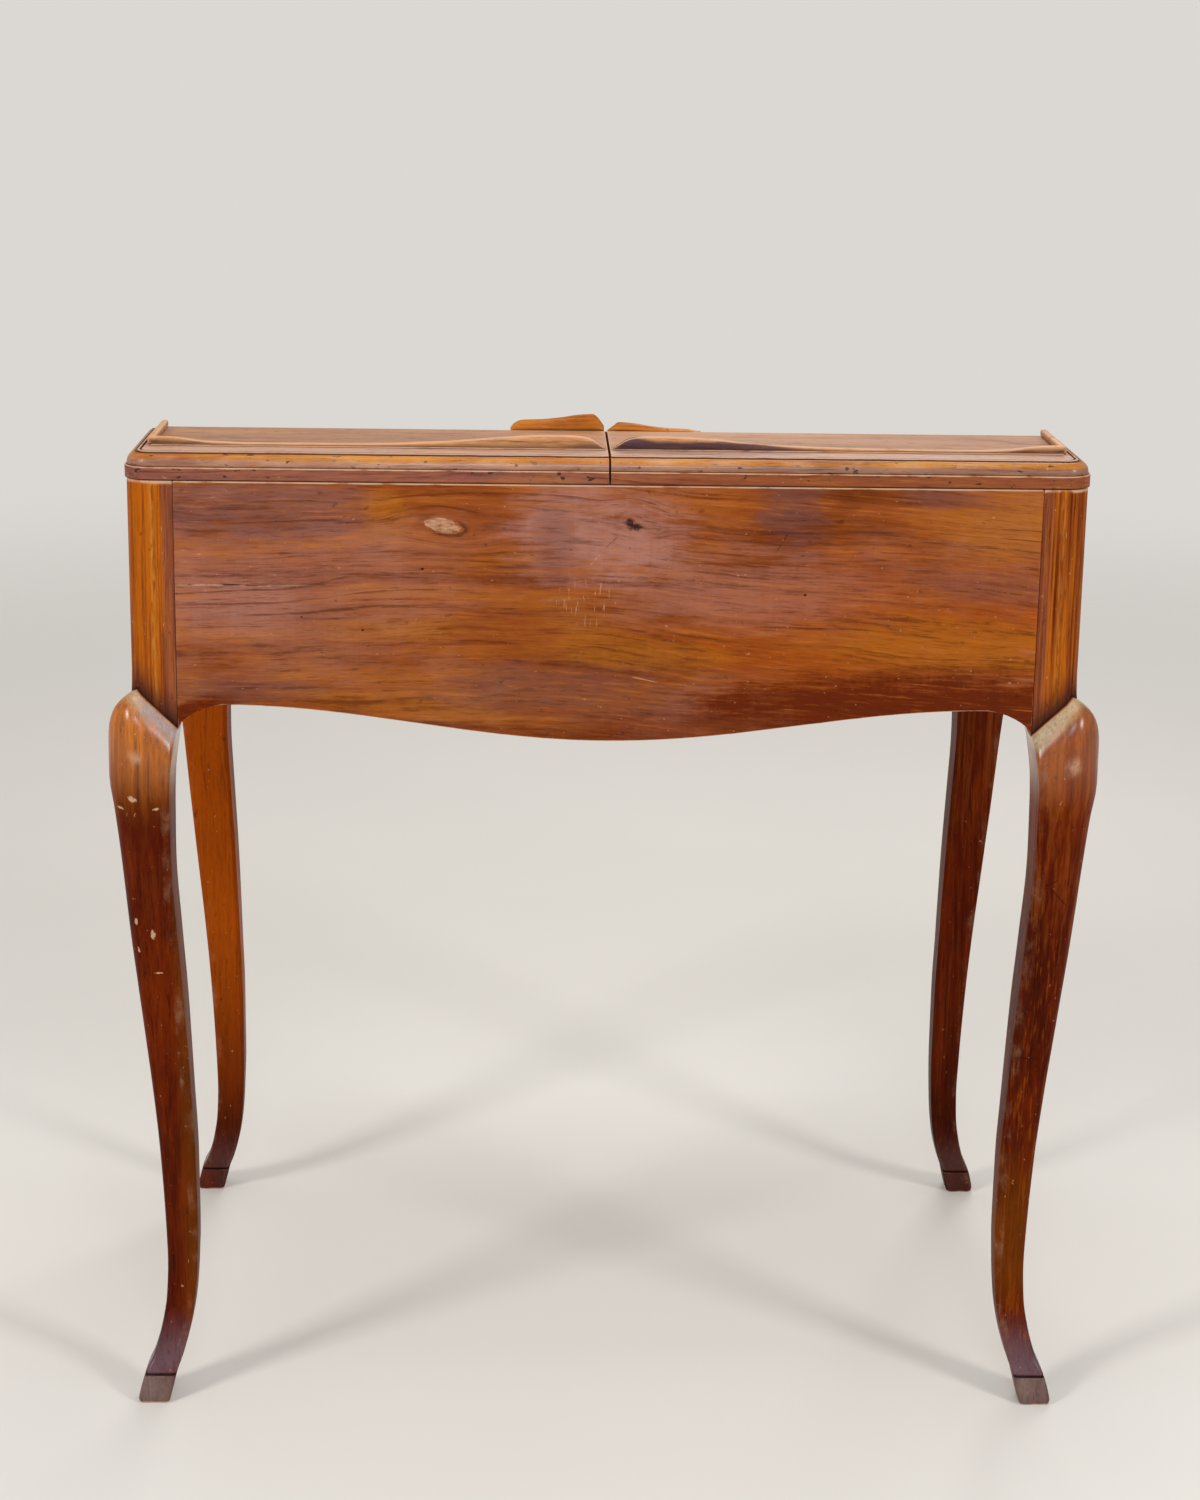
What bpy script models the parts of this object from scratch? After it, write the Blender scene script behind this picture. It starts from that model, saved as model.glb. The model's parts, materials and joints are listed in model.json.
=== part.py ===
"""A lady's slant-front writing desk in walnut, on four cabriole legs with hoof feet.

X runs along the desk, Y runs from its back to the sitter and Z runs up from the floor, in metres.
The back is finished like the front. A narrow top shelf, parted in the middle, closes two pen wells,
and in front of it a fall slopes down to the sitter and opens on to two lopers.
"""

import math

import bmesh
import bpy
from mathutils import Matrix

# Case. Its box hangs below the seat of the shelf lids, and the legs take up the rest of the height.
CASE_WIDTH = 0.724
CASE_DEPTH = 0.442
CASE_TOP = 0.7505
INSIDE_HEIGHT = 0.1015
DRAWER_HEIGHT = 0.0366
APRON_RAIL = 0.0140
KNEE_OVER_APRON = 0.0105
POST = 0.036
POST_ROUND = 0.0205
POST_ARRIS = 0.0010
CORNER_STEPS = 6
ARRIS_STEPS = 2
FACE_SHARES = (0.35, 0.7)
PANEL = 0.018
FIT = 0.0003
RUN = 0.0006

# Cabriole legs: height as a share of the knee's height, then how far the leg stands out from the
# case corner, how far its inner faces lie inside that corner and how round its outer corner is.
KNEE_PROUD = 0.0187
KNEE_SHOULDER = 0.036
KNEE_SHOULDER_POWER = 2.8
KNEE_LEDGE_SLOPE = 0.80
LEG_ARRIS = 0.0032
LEG_CURVE = (
    (0.000, 0.0058, 0.0172, 0.0016),
    (0.007, 0.0071, 0.0183, 0.0016),
    (0.017, 0.0060, 0.0199, 0.0018),
    (0.042, 0.0017, 0.0236, 0.0026),
    (0.064, -0.0043, 0.0284, 0.0036),
    (0.101, -0.0105, 0.0342, 0.0044),
    (0.141, -0.0143, 0.0378, 0.0050),
    (0.193, -0.0157, 0.0400, 0.0054),
    (0.248, -0.0149, 0.0410, 0.0060),
    (0.346, -0.0122, 0.0408, 0.0070),
    (0.433, -0.0084, 0.0391, 0.0082),
    (0.577, -0.0003, 0.0358, 0.0110),
    (0.671, 0.0063, 0.0326, 0.0145),
    (0.772, 0.0127, 0.0298, 0.0200),
    (0.839, 0.0162, 0.0301, 0.0245),
    (0.884, 0.0181, 0.0310, 0.0280),
    (0.926, KNEE_PROUD, 0.0337, 0.0300),
    (0.951, KNEE_PROUD, POST, 0.0310),
)
LEDGE_LEVELS = (0.963, 0.975, 0.987, 1.000, 1.003)

# Shaped lower edges of the case
BACK_APRON_DROP = 0.026
SIDE_APRON_DROP = 0.015
BRACKET_LENGTH = 0.034
BRACKET_DROP = 0.016
BRACKET_STEPS = 8
APRON_STEPS = 22

# Shelf lids with their moulded edge and low gallery
LID_THICK = 0.0205
LID_DEPTH = 0.1345
LID_OVERHANG = 0.0015
LID_SETBACK = 0.0008
LID_SPLIT = 0.0016
BAND_HEIGHT = 0.0084
BAND_EASE = 0.0007
FILLET_SET = 0.0016
FILLET_HEIGHT = 0.0010
OVOLO_REACH = 0.0072
QUIRK_DEPTH = 0.0014
TOP_EASE = 0.0008
OVOLO_STEPS = 5
LEDGE_THICK = 0.0055
LEDGE_BORDER = 0.0370
LEDGE_END_BORDER = 0.018
LEDGE_PROFILE = (
    (0.0030, 0.0010),
    (0.0080, 0.0045),
    (0.0150, 0.0083),
    (0.0220, 0.0102),
    (0.0450, 0.0102),
    (0.0740, 0.0090),
    (0.1000, 0.0068),
    (0.1350, 0.0044),
    (0.1850, 0.0028),
    (0.2700, 0.0024),
    (0.3080, 0.0036),
    (0.3280, 0.0061),
)
LEDGE_END_RISE = 0.0066
LEDGE_STEPS = 26
END_LEDGE_BORDER = 0.0145
END_LEDGE_THICK = 0.005
END_LEDGE_HEIGHT = 0.0052
END_LEDGE_SETBACK = 0.002

# Writing deck, fall and its fittings
DECK_THICK = 0.017
FALL_THICK = 0.018
LEATHER_THICK = 0.0014
LEATHER_MARGIN = 0.042
PULL_THICK = 0.010
PULL_SETBACK = 0.003
PULL_INNER = 0.0014
PULL_PROFILE = (
    (0.0000, -0.0095),
    (0.0047, -0.0029),
    (0.0090, 0.0000),
    (0.0200, -0.0006),
    (0.0330, -0.0027),
    (0.0490, -0.0044),
    (0.0645, -0.0051),
    (0.0712, -0.0078),
    (0.0740, -0.0114),
)
PULL_RISE = {"left": 0.0122, "right": 0.0060}
PLATE_THICK = 0.0012
PLATE_LENGTH = 0.030
PLATE_WIDTH = 0.018
PLATE_DOWN_FALL = 0.045
PLATE_STEPS = 16

# Hinges
LEAF = 0.0015
KNUCKLE = 0.0028
PIN = 0.0011
HINGE_SIDES = 12
FALL_HINGE_LENGTH = 0.060
FALL_HINGE_REACH = 0.024
FALL_HINGE_PLACE = 0.205
LID_HINGE_LENGTH = 0.040
LID_HINGE_REACH = 0.026
LID_HINGE_FROM_FRONT = 0.045

# Drawers, lopers and the fittings inside
CARCASE_BOARD = 0.0095
LOPER_WIDTH = 0.020
LOPER_LENGTH = 0.300
PARTITION = 0.0125
DRAWER_LENGTH = 0.360
DRAWER_SIDE = 0.008
DRAWER_BOTTOM = 0.005
DRAWER_SIDE_DROP = 0.004
WELL_FLOOR = 0.008
WELL_DEPTH = 0.047
WELL_RAIL = 0.012
WELL_RAIL_SETBACK = 0.002
DIVIDER = 0.008
TRAY_WALL = 0.006
TRAY_FRONT = 0.010
TRAY_BACK_GAP = 0.002
KNOB_REACH = 0.0145
KNOB_RADIUS = 0.0078
KNOB_PROFILE = ((0.42, 0.00), (0.36, 0.24), (0.40, 0.40), (0.92, 0.60), (1.00, 0.76), (0.78, 0.93), (0.34, 1.00))
SMALL_KNOB_SHARE = 0.72
KNOB_SIDES = 12
MAIN_KNOB_PLACE = 0.165

# Sizes that follow
HALF_WIDTH = CASE_WIDTH / 2
BACK = -CASE_DEPTH / 2
FRONT = CASE_DEPTH / 2
DECK_TOP = CASE_TOP - INSIDE_HEIGHT
DRAWER_TOP = DECK_TOP - max(DECK_THICK, FALL_THICK) - RUN
DRAWER_FLOOR = DRAWER_TOP - DRAWER_HEIGHT - FIT
APRON_HIGH = DRAWER_FLOOR - APRON_RAIL
KNEE_TOP = APRON_HIGH + KNEE_OVER_APRON
POST_IN_X = HALF_WIDTH - POST
POST_IN_Y = FRONT - POST
LID_SEAT = CASE_TOP + FIT
LID_TOP = LID_SEAT + LID_THICK
LID_END = HALF_WIDTH + LID_OVERHANG
LID_CORNER = POST_ROUND
LID_BACK = BACK + LID_SETBACK
LID_FRONT = LID_BACK + LID_DEPTH
FALL_HEAD = LID_FRONT + RUN
HINGE_Y = FRONT + RUN
FALL_RISE = LID_TOP - DECK_TOP
FALL_RUN = HINGE_Y - FALL_HEAD
SLOPE = math.acos(FALL_THICK / math.hypot(FALL_RISE, FALL_RUN)) - math.atan2(FALL_RUN, FALL_RISE)
FALL_LENGTH = FALL_RUN / math.cos(SLOPE)
FALL_LEAN = FALL_THICK * math.tan(SLOPE)
BORE = PIN + FIT
LEAF_GAP = KNUCKLE + FIT
LID_AXIS_X = LID_END + KNUCKLE + FIT
WELL_FLOOR_TOP = CASE_TOP - WELL_DEPTH
WELL_RAIL_FRONT = LID_FRONT - WELL_RAIL_SETBACK
TRAY_LENGTH = WELL_RAIL_FRONT + POST_IN_Y - TRAY_BACK_GAP

# Edges that bend by more than these angles, in degrees, are shaded sharp
CRISP = 30.0
TURNED = 40.0

FINISHES = {
    "walnut": ((0.255, 0.098, 0.036), 0.34, 0.0),
    "walnut_dark": ((0.150, 0.055, 0.024), 0.32, 0.0),
    "walnut_amber": ((0.420, 0.170, 0.050), 0.32, 0.0),
    "inner_wood": ((0.420, 0.270, 0.140), 0.55, 0.0),
    "leather": ((0.120, 0.045, 0.022), 0.50, 0.0),
    "brass": ((0.560, 0.390, 0.150), 0.34, 1.0),
    "iron": ((0.060, 0.052, 0.046), 0.45, 1.0),
}


def clear_scene():
    for item in list(bpy.data.objects):
        bpy.data.objects.remove(item, do_unlink=True)


def finish(name):
    material = bpy.data.materials.get(name) or bpy.data.materials.new(name)
    colour, roughness, metallic = FINISHES[name]
    material.use_nodes = True
    shader = material.node_tree.nodes["Principled BSDF"]
    shader.inputs["Base Color"].default_value = (*colour, 1.0)
    shader.inputs["Roughness"].default_value = roughness
    shader.inputs["Metallic"].default_value = metallic
    return material


def body(name, place=(0.0, 0.0, 0.0), tilt=0.0):
    """An empty on a joint's axis, which carries the pieces of one moving body."""
    empty = bpy.data.objects.new(name, None)
    empty.location = place
    empty.rotation_euler = (tilt, 0.0, 0.0)
    bpy.context.collection.objects.link(empty)
    bpy.context.view_layer.update()
    return empty


def piece(name, mesh, finish_name, carrier, local=False, smooth=CRISP):
    """Make a named object from a bmesh in world coordinates, or in its carrier's own if local."""
    bmesh.ops.recalc_face_normals(mesh, faces=mesh.faces)
    if not local:
        bmesh.ops.transform(mesh, matrix=carrier.matrix_world.inverted(), verts=mesh.verts)
    data = bpy.data.meshes.new(name)
    mesh.to_mesh(data)
    mesh.free()
    data.shade_smooth()
    data.set_sharp_from_angle(angle=math.radians(smooth))
    data.materials.append(finish(finish_name))
    item = bpy.data.objects.new(name, data)
    item.parent = carrier
    bpy.context.collection.objects.link(item)
    return item


def joined(target, tool, operation):
    """Apply a Boolean of two objects in place and remove the tool."""
    cut = target.modifiers.new(operation, "BOOLEAN")
    cut.operation = operation
    cut.solver = "EXACT"
    cut.object = tool
    bpy.context.view_layer.update()
    result = bpy.data.meshes.new_from_object(target.evaluated_get(bpy.context.evaluated_depsgraph_get()))
    target.modifiers.clear()
    target.data = result
    bpy.data.objects.remove(tool, do_unlink=True)
    return target


def loft(rings):
    """Join rings of equally many points into one closed skin with flat ends."""
    mesh = bmesh.new()
    loops = [[mesh.verts.new(point) for point in ring] for ring in rings]
    count = len(loops[0])
    for low, high in zip(loops, loops[1:]):
        for i in range(count):
            mesh.faces.new((low[i], low[(i + 1) % count], high[(i + 1) % count], high[i]))
    mesh.faces.new(loops[0])
    mesh.faces.new(loops[-1])
    return mesh


def prism(outline, axis, start, end):
    """Extrude an outline of two coordinates, in X, Y, Z order, along the third axis."""
    def place(point, along):
        values = list(point)
        values.insert("xyz".index(axis), along)
        return tuple(values)
    return loft([[place(point, along) for point in outline] for along in (start, end)])


def block(low, high):
    outline = [(low[0], low[1]), (high[0], low[1]), (high[0], high[1]), (low[0], high[1])]
    return prism(outline, "z", low[2], high[2])


def board(name, low, high, finish_name, carrier, local=False):
    return piece(name, block(low, high), finish_name, carrier, local)


def mirrored_box(half, y_range, z_range):
    return (-half, y_range[0], z_range[0]), (half, y_range[1], z_range[1])


def smooth_value(table, place, column=1):
    """Read one column of a table between its rows, along a curve that never overshoots them."""
    if place <= table[0][0]:
        return table[0][column]
    if place >= table[-1][0]:
        return table[-1][column]
    k = max(i for i in range(len(table) - 1) if table[i][0] <= place)

    def grade(i):
        return (table[i + 1][column] - table[i][column]) / (table[i + 1][0] - table[i][0])

    def tangent(i):
        if i == 0:
            return grade(0)
        if i == len(table) - 1:
            return grade(i - 1)
        before, after = grade(i - 1), grade(i)
        if before * after <= 0:
            return 0.0
        return 2 * before * after / (before + after)

    span = table[k + 1][0] - table[k][0]
    t = (place - table[k][0]) / span
    start, end = table[k][column], table[k + 1][column]
    return (start * (1 + 2 * t) * (1 - t) ** 2 + tangent(k) * span * t * (1 - t) ** 2
            + end * t * t * (3 - 2 * t) + tangent(k + 1) * span * t * t * (t - 1))


def fall_underside(y):
    """Height of the closed fall's inner face above a place on the Y axis."""
    return DECK_TOP + (HINGE_Y - y) * math.tan(SLOPE)


def case_edge(y):
    """Height of the case's upper edge: level under the shelf lids, then sloping under the fall."""
    return min(CASE_TOP, fall_underside(y) - FIT / math.cos(SLOPE))


def arc(centre, radius, start, end, steps):
    angles = [math.radians(start + (end - start) * i / steps) for i in range(steps + 1)]
    return [(centre[0] + radius * math.cos(a), centre[1] + radius * math.sin(a)) for a in angles]


def post_outline(arris, corner):
    """The post's plan, measured inward from the case corner, with its outer corner rounded."""
    outer = arc((corner, corner), corner, 180, 270, CORNER_STEPS)
    face = [(corner + (POST - arris - corner) * share, 0.0) for share in FACE_SHARES]
    edge = arc((POST - arris, arris), arris, 270, 360, ARRIS_STEPS)
    inner = [(POST, POST / 2), (POST, POST - arris), (POST - arris, POST), (POST / 2, POST)]
    return outer + face + edge + inner + [(y, x) for x, y in reversed(face + edge)]


def knee_limit(depth):
    """How far the knee's shoulder has swelled at a depth below its ledge."""
    if depth <= 0:
        return 0.0
    left = max(0.0, 1 - depth / KNEE_SHOULDER)
    return KNEE_PROUD * (1 - left ** KNEE_SHOULDER_POWER)


def leg_ring(height, side, end, arris):
    """The leg's plan at a height. The arris and the corner keep their real size as the leg tapers."""
    share = height / KNEE_TOP
    proud, inside, corner = (smooth_value(LEG_CURVE, share, column) for column in (1, 2, 3))
    if height >= KNEE_TOP:
        proud, corner = 0.0, POST_ROUND
    stretch = POST / (inside + proud)
    ring = []
    for across, along in post_outline(arris * stretch, corner * stretch):
        out_x = min(proud, knee_limit(KNEE_TOP - KNEE_LEDGE_SLOPE * along - height))
        out_y = min(proud, knee_limit(KNEE_TOP - KNEE_LEDGE_SLOPE * across - height))
        x = -out_x + across / POST * (inside + out_x)
        y = -out_y + along / POST * (inside + out_y)
        ring.append((side * (HALF_WIDTH - x), end * (FRONT - y), height))
    return ring


def make_leg(name, side, end, root):
    """One solid: the corner post of the case and the leg below it."""
    levels = [row[0] for row in LEG_CURVE] + list(LEDGE_LEVELS)
    rings = []
    for share in levels:
        arris = LEG_ARRIS if share < LEG_CURVE[-1][0] else POST_ARRIS
        rings.append(leg_ring(share * KNEE_TOP, side, end, arris))
    top = [(x, y, case_edge(y)) for x, y, z in rings[-1]]
    piece(name, loft(rings + [top]), "walnut_dark", root)


def apron_edge(half, drop):
    """Lower edge from one post to the other: a bracket at each end and a long swell between."""
    def height(u):
        if u < BRACKET_LENGTH:
            left = 1 - u / BRACKET_LENGTH
            return APRON_HIGH - BRACKET_DROP * (1 - math.sqrt(1 - left * left))
        t = (u - BRACKET_LENGTH) / (half - BRACKET_LENGTH)
        return APRON_HIGH - drop * (1 - math.cos(math.pi * t)) / 2
    bracket = [BRACKET_LENGTH * (i / BRACKET_STEPS) ** 2 for i in range(BRACKET_STEPS + 1)]
    swell = [BRACKET_LENGTH + (half - BRACKET_LENGTH) * i / APRON_STEPS for i in range(1, APRON_STEPS + 1)]
    left = [(u - half, height(u)) for u in bracket + swell]
    return left + [(-x, z) for x, z in reversed(left[:-1])]


def make_case(root):
    for end_name, end in (("back", -1), ("front", 1)):
        for side_name, side in (("left", -1), ("right", 1)):
            make_leg(f"leg_{end_name}_{side_name}", side, end, root)

    across = POST_IN_X - FIT
    along = POST_IN_Y - FIT
    low_edge = apron_edge(across, BACK_APRON_DROP)
    outline = low_edge + [(across, CASE_TOP), (-across, CASE_TOP)]
    piece("back_panel", prism(outline, "y", BACK, BACK + PANEL), "walnut", root)
    outline = low_edge + [(across, DRAWER_FLOOR), (-across, DRAWER_FLOOR)]
    piece("front_apron", prism(outline, "y", FRONT - PANEL, FRONT), "walnut", root)

    bend = HINGE_Y - (CASE_TOP + FIT / math.cos(SLOPE) - DECK_TOP) / math.tan(SLOPE)
    outline = apron_edge(along, SIDE_APRON_DROP) + [(along, case_edge(along)), (bend, CASE_TOP), (-along, CASE_TOP)]
    for side_name, side in (("left", -1), ("right", 1)):
        start, end = sorted((side * (HALF_WIDTH - PANEL), side * HALF_WIDTH))
        piece(f"side_panel_{side_name}", prism(outline, "x", start, end), "walnut", root)


def floor_outline(front, back, notch_front):
    """Plan of a board that fills the case and is notched round the posts that it meets."""
    wide = HALF_WIDTH - PANEL - FIT
    narrow = POST_IN_X - FIT
    post = POST_IN_Y - FIT
    right = [(narrow, back), (narrow, -post), (wide, -post)]
    right += [(wide, post), (narrow, post), (narrow, front)] if notch_front else [(wide, front)]
    return right + [(-x, y) for x, y in reversed(right)]


def make_carcase(root):
    behind = BACK + PANEL + FIT
    rail_front = FRONT - PANEL - FIT
    outline = floor_outline(rail_front, behind, True)
    piece("dust_board", prism(outline, "z", DRAWER_FLOOR - CARCASE_BOARD, DRAWER_FLOOR), "inner_wood", root)
    deck_low = DECK_TOP - DECK_THICK
    outline = floor_outline(FRONT, behind, True)
    deck = piece("writing_deck", prism(outline, "z", deck_low, DECK_TOP), "walnut", root)
    for side_name, side in (("left", -1), ("right", 1)):
        outer = POST_IN_X - FIT - LOPER_WIDTH - 2 * FIT
        start, end = sorted((side * (outer - PARTITION), side * outer))
        board(f"runner_{side_name}", (start, behind, DRAWER_FLOOR + FIT), (end, FRONT - RUN, deck_low - FIT),
              "walnut", root)

    well_low = WELL_FLOOR_TOP - WELL_FLOOR
    rail_back = WELL_RAIL_FRONT - WELL_RAIL
    outline = floor_outline(rail_back - FIT, behind, False)
    piece("well_floor", prism(outline, "z", well_low, WELL_FLOOR_TOP), "inner_wood", root)
    wide = HALF_WIDTH - PANEL - FIT
    board("well_rail", *mirrored_box(wide, (rail_back, WELL_RAIL_FRONT), (well_low, CASE_TOP - FIT)), "walnut", root)
    board("well_divider", *mirrored_box(DIVIDER / 2, (behind, rail_back - FIT), (WELL_FLOOR_TOP + FIT, CASE_TOP)),
          "inner_wood", root)
    for side_name, side in (("left", -1), ("right", 1)):
        middle = side * (wide + DIVIDER / 2) / 3
        board(f"drawer_divider_{side_name}", (middle - DIVIDER / 2, behind, DECK_TOP + FIT),
              (middle + DIVIDER / 2, WELL_RAIL_FRONT, well_low - FIT), "walnut", root)
    return deck


def lid_levels():
    """The edge moulding from its seat up: inset from the band's face, and height."""
    foot = BAND_HEIGHT + FILLET_HEIGHT
    crown = LID_THICK - QUIRK_DEPTH
    reach = FILLET_SET + OVOLO_REACH
    levels = [(0.0, 0.0), (0.0, BAND_HEIGHT - BAND_EASE), (BAND_EASE, BAND_HEIGHT), (FILLET_SET, BAND_HEIGHT),
              (FILLET_SET, foot)]
    for i in range(1, OVOLO_STEPS + 1):
        angle = math.pi / 2 * i / OVOLO_STEPS
        levels.append((reach - OVOLO_REACH * math.cos(angle), foot + (crown - foot) * math.sin(angle)))
    levels += [(reach + TOP_EASE, crown), (reach + TOP_EASE, LID_THICK - TOP_EASE), (reach + 2 * TOP_EASE, LID_THICK)]
    return levels


def lid_ring(inset, height, side):
    split = LID_SPLIT / 2
    corner = arc((LID_END - LID_CORNER, LID_BACK + LID_CORNER), LID_CORNER - inset, 270, 360, CORNER_STEPS)
    plan = [(split, LID_FRONT), (split, LID_BACK + inset)] + corner + [(LID_END - inset, LID_FRONT)]
    return [(side * x, y, LID_SEAT + height) for x, y in plan]


def make_lid(side_name, side):
    carrier = body(f"lid_{side_name}_axis", (side * LID_AXIS_X, LID_FRONT - LID_HINGE_FROM_FRONT, CASE_TOP))
    levels = lid_levels()
    rings = [lid_ring(inset, height, side) for inset, height in levels]
    piece(f"shelf_lid_{side_name}", loft(rings), "walnut", carrier)

    seat = LID_TOP + FIT
    end = LID_END - LEDGE_END_BORDER
    table = LEDGE_PROFILE + ((end, LEDGE_END_RISE),)
    start = table[0][0]
    steps = [start + (end - start) * i / LEDGE_STEPS for i in range(LEDGE_STEPS + 1)]
    steps[1:1] = [table[1][0]]
    profile = [(side * x, seat + smooth_value(table, x)) for x in steps]
    outline = [(side * start, seat)] + profile + [(side * end, seat)]
    back = BACK + LEDGE_BORDER
    piece(f"back_ledge_{side_name}", prism(outline, "y", back, back + LEDGE_THICK), "walnut_amber", carrier)

    outer = LID_END - END_LEDGE_BORDER
    low, high = sorted((side * outer, side * (outer - END_LEDGE_THICK)))
    board(f"end_ledge_{side_name}", (low, back + LEDGE_THICK + FIT, seat),
          (high, LID_FRONT - END_LEDGE_SETBACK, seat + END_LEDGE_HEIGHT), "walnut_amber", carrier)
    return carrier


def cylinder(radius, start, end, sides):
    """A bar along X, for a pin or a bore."""
    rings = []
    for x in (start, end):
        rings.append([(x, y, z) for y, z in arc((0.0, 0.0), radius, 0, 360 - 360 / sides, sides - 1)])
    return loft(rings)


def knuckles(length, moving):
    """Stretches of a hinge barrel along its pin: two outer thirds on the fixed leaf, one on the other."""
    third = length / 3
    if moving:
        return [(-third / 2 + FIT / 2, third / 2 - FIT / 2)]
    return [(-length / 2, -third / 2 - FIT / 2), (third / 2 + FIT / 2, length / 2)]


def make_leaf(name, carrier, matrix, length, moving, plate, neck):
    """A hinge leaf with its knuckles. Plate and neck are (y, z) low and high corners about the pin."""
    def raw(mesh):
        return piece("tool", mesh, "brass", carrier, local=True)
    (y0, z0), (y1, z1) = plate
    leaf = piece(name, block((-length / 2, y0, z0), (length / 2, y1, z1)), "brass", carrier, local=True)
    for start, end in knuckles(length, moving):
        (y0, z0), (y1, z1) = neck
        joined(leaf, raw(block((start, y0, z0), (end, y1, z1))), "UNION")
        joined(leaf, raw(cylinder(KNUCKLE, start, end, HINGE_SIDES)), "UNION")
        joined(leaf, raw(cylinder(BORE, start - FIT, end + FIT, HINGE_SIDES)), "DIFFERENCE")
    leaf.data.transform(matrix)
    return leaf


def make_pin(name, carrier, matrix, length):
    pin = piece(name, cylinder(PIN, -length / 2, length / 2, HINGE_SIDES), "iron", carrier, local=True)
    pin.data.transform(matrix)
    return pin


def recess(target, carrier, matrix, low, high, length):
    """Let a hinge into the wood: a shallow bed for the leaf and a round for the barrel."""
    half = length / 2 + FIT
    bed = piece("tool", block((-half, low[0], low[1]), (half, high[0], high[1])), "brass", carrier, local=True)
    bed.data.transform(matrix)
    joined(target, bed, "DIFFERENCE")
    barrel = piece("tool", cylinder(KNUCKLE + FIT, -half, half, HINGE_SIDES), "brass", carrier, local=True)
    barrel.data.transform(matrix)
    joined(target, barrel, "DIFFERENCE")


def fall_rings():
    """Sections of the fall from end to end. Its ends are moulded as those of the shelf lids."""
    half = []
    reached = -FIT
    for inset, height in lid_levels()[1:]:
        reached = max(inset, reached + FIT / 3)
        half.append((LID_END - reached, height / LID_THICK))
    rings = []
    for x, share in [(-x, share) for x, share in half] + half[::-1]:
        lean, thick = FALL_LEAN * share, FALL_THICK * share
        rings.append([(x, 0.0, 0.0), (x, -lean, thick), (x, -FALL_LENGTH - lean, thick), (x, -FALL_LENGTH, 0.0)])
    return rings


def make_fall(root, deck):
    carrier = body("fall_axis", (0.0, HINGE_Y, DECK_TOP), -SLOPE)
    fall = piece("fall_board", loft(fall_rings()), "walnut", carrier, local=True)

    wide = POST_IN_X - LEATHER_MARGIN
    near, far = -LEATHER_MARGIN, -FALL_LENGTH + LEATHER_MARGIN
    bed = piece("tool", block((-wide - FIT, far - FIT, -FIT), (wide + FIT, near + FIT, LEATHER_THICK + FIT)),
                "brass", carrier, local=True)
    joined(fall, bed, "DIFFERENCE")
    board("leather_inset", (-wide, far, 0.0), (wide, near, LEATHER_THICK), "leather", carrier, local=True)

    bed_low, bed_high = (-FALL_HINGE_REACH - FIT, 0.0), (0.0, LEAF + FIT)
    neck_end = -(BORE + KNUCKLE) / 2
    for side_name, side in (("left", -1), ("right", 1)):
        place = Matrix.Translation((side * FALL_HINGE_PLACE, 0.0, 0.0))
        on_case = Matrix.Translation((side * FALL_HINGE_PLACE, HINGE_Y, DECK_TOP))
        make_leaf(f"fall_hinge_leaf_{side_name}", carrier, place, FALL_HINGE_LENGTH, True,
                  ((-FALL_HINGE_REACH, FIT / 2), (-LEAF_GAP, LEAF)), ((-LEAF_GAP - LEAF, FIT / 2), (neck_end, LEAF)))
        make_leaf(f"deck_hinge_leaf_{side_name}", root, on_case, FALL_HINGE_LENGTH, False,
                  ((-FALL_HINGE_REACH, -LEAF), (-LEAF_GAP, -FIT / 2)),
                  ((-LEAF_GAP - LEAF, -LEAF), (neck_end, -FIT / 2)))
        make_pin(f"fall_hinge_pin_{side_name}", root, on_case, FALL_HINGE_LENGTH)
        recess(fall, carrier, place, (bed_low[0], -FIT), (bed_high[0], bed_high[1]), FALL_HINGE_LENGTH)
        recess(deck, root, on_case, (bed_low[0], -bed_high[1]), (bed_high[0], FIT), FALL_HINGE_LENGTH)

    for side_name, side in (("left", -1), ("right", 1)):
        make_pull(side_name, side, carrier)

    middle = -FALL_LENGTH - FALL_LEAN + PLATE_DOWN_FALL
    half_long, half_wide = PLATE_LENGTH / 2, PLATE_WIDTH / 2
    oval = []
    for i in range(PLATE_STEPS):
        angle = 2 * math.pi * i / PLATE_STEPS
        oval.append((half_wide * math.cos(angle), middle + half_long * math.sin(angle)))
    low = FALL_THICK + FIT
    piece("lock_plate", prism(oval, "z", low, low + PLATE_THICK), "brass", carrier, local=True)


def make_pull(side_name, side, carrier):
    """A carved finger pull that stands on the head of the fall, beside the middle."""
    top = LID_TOP + PULL_RISE[side_name]

    def seat(y):
        return LID_TOP - (y - FALL_HEAD) * math.tan(SLOPE) + FIT / math.cos(SLOPE)

    first = FALL_HEAD + PULL_SETBACK
    rings = []
    for y in (first, first + PULL_THICK):
        base = seat(y)
        least = seat(first) + FIT
        edge = [(side * (PULL_INNER + x), y, max(top + drop, least)) for x, drop in PULL_PROFILE]
        last = side * (PULL_INNER + PULL_PROFILE[-1][0])
        rings.append([(side * PULL_INNER, y, base)] + edge + [(last, y, base)])
    piece(f"fall_pull_{side_name}", loft(rings), "walnut_amber", carrier)


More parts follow.
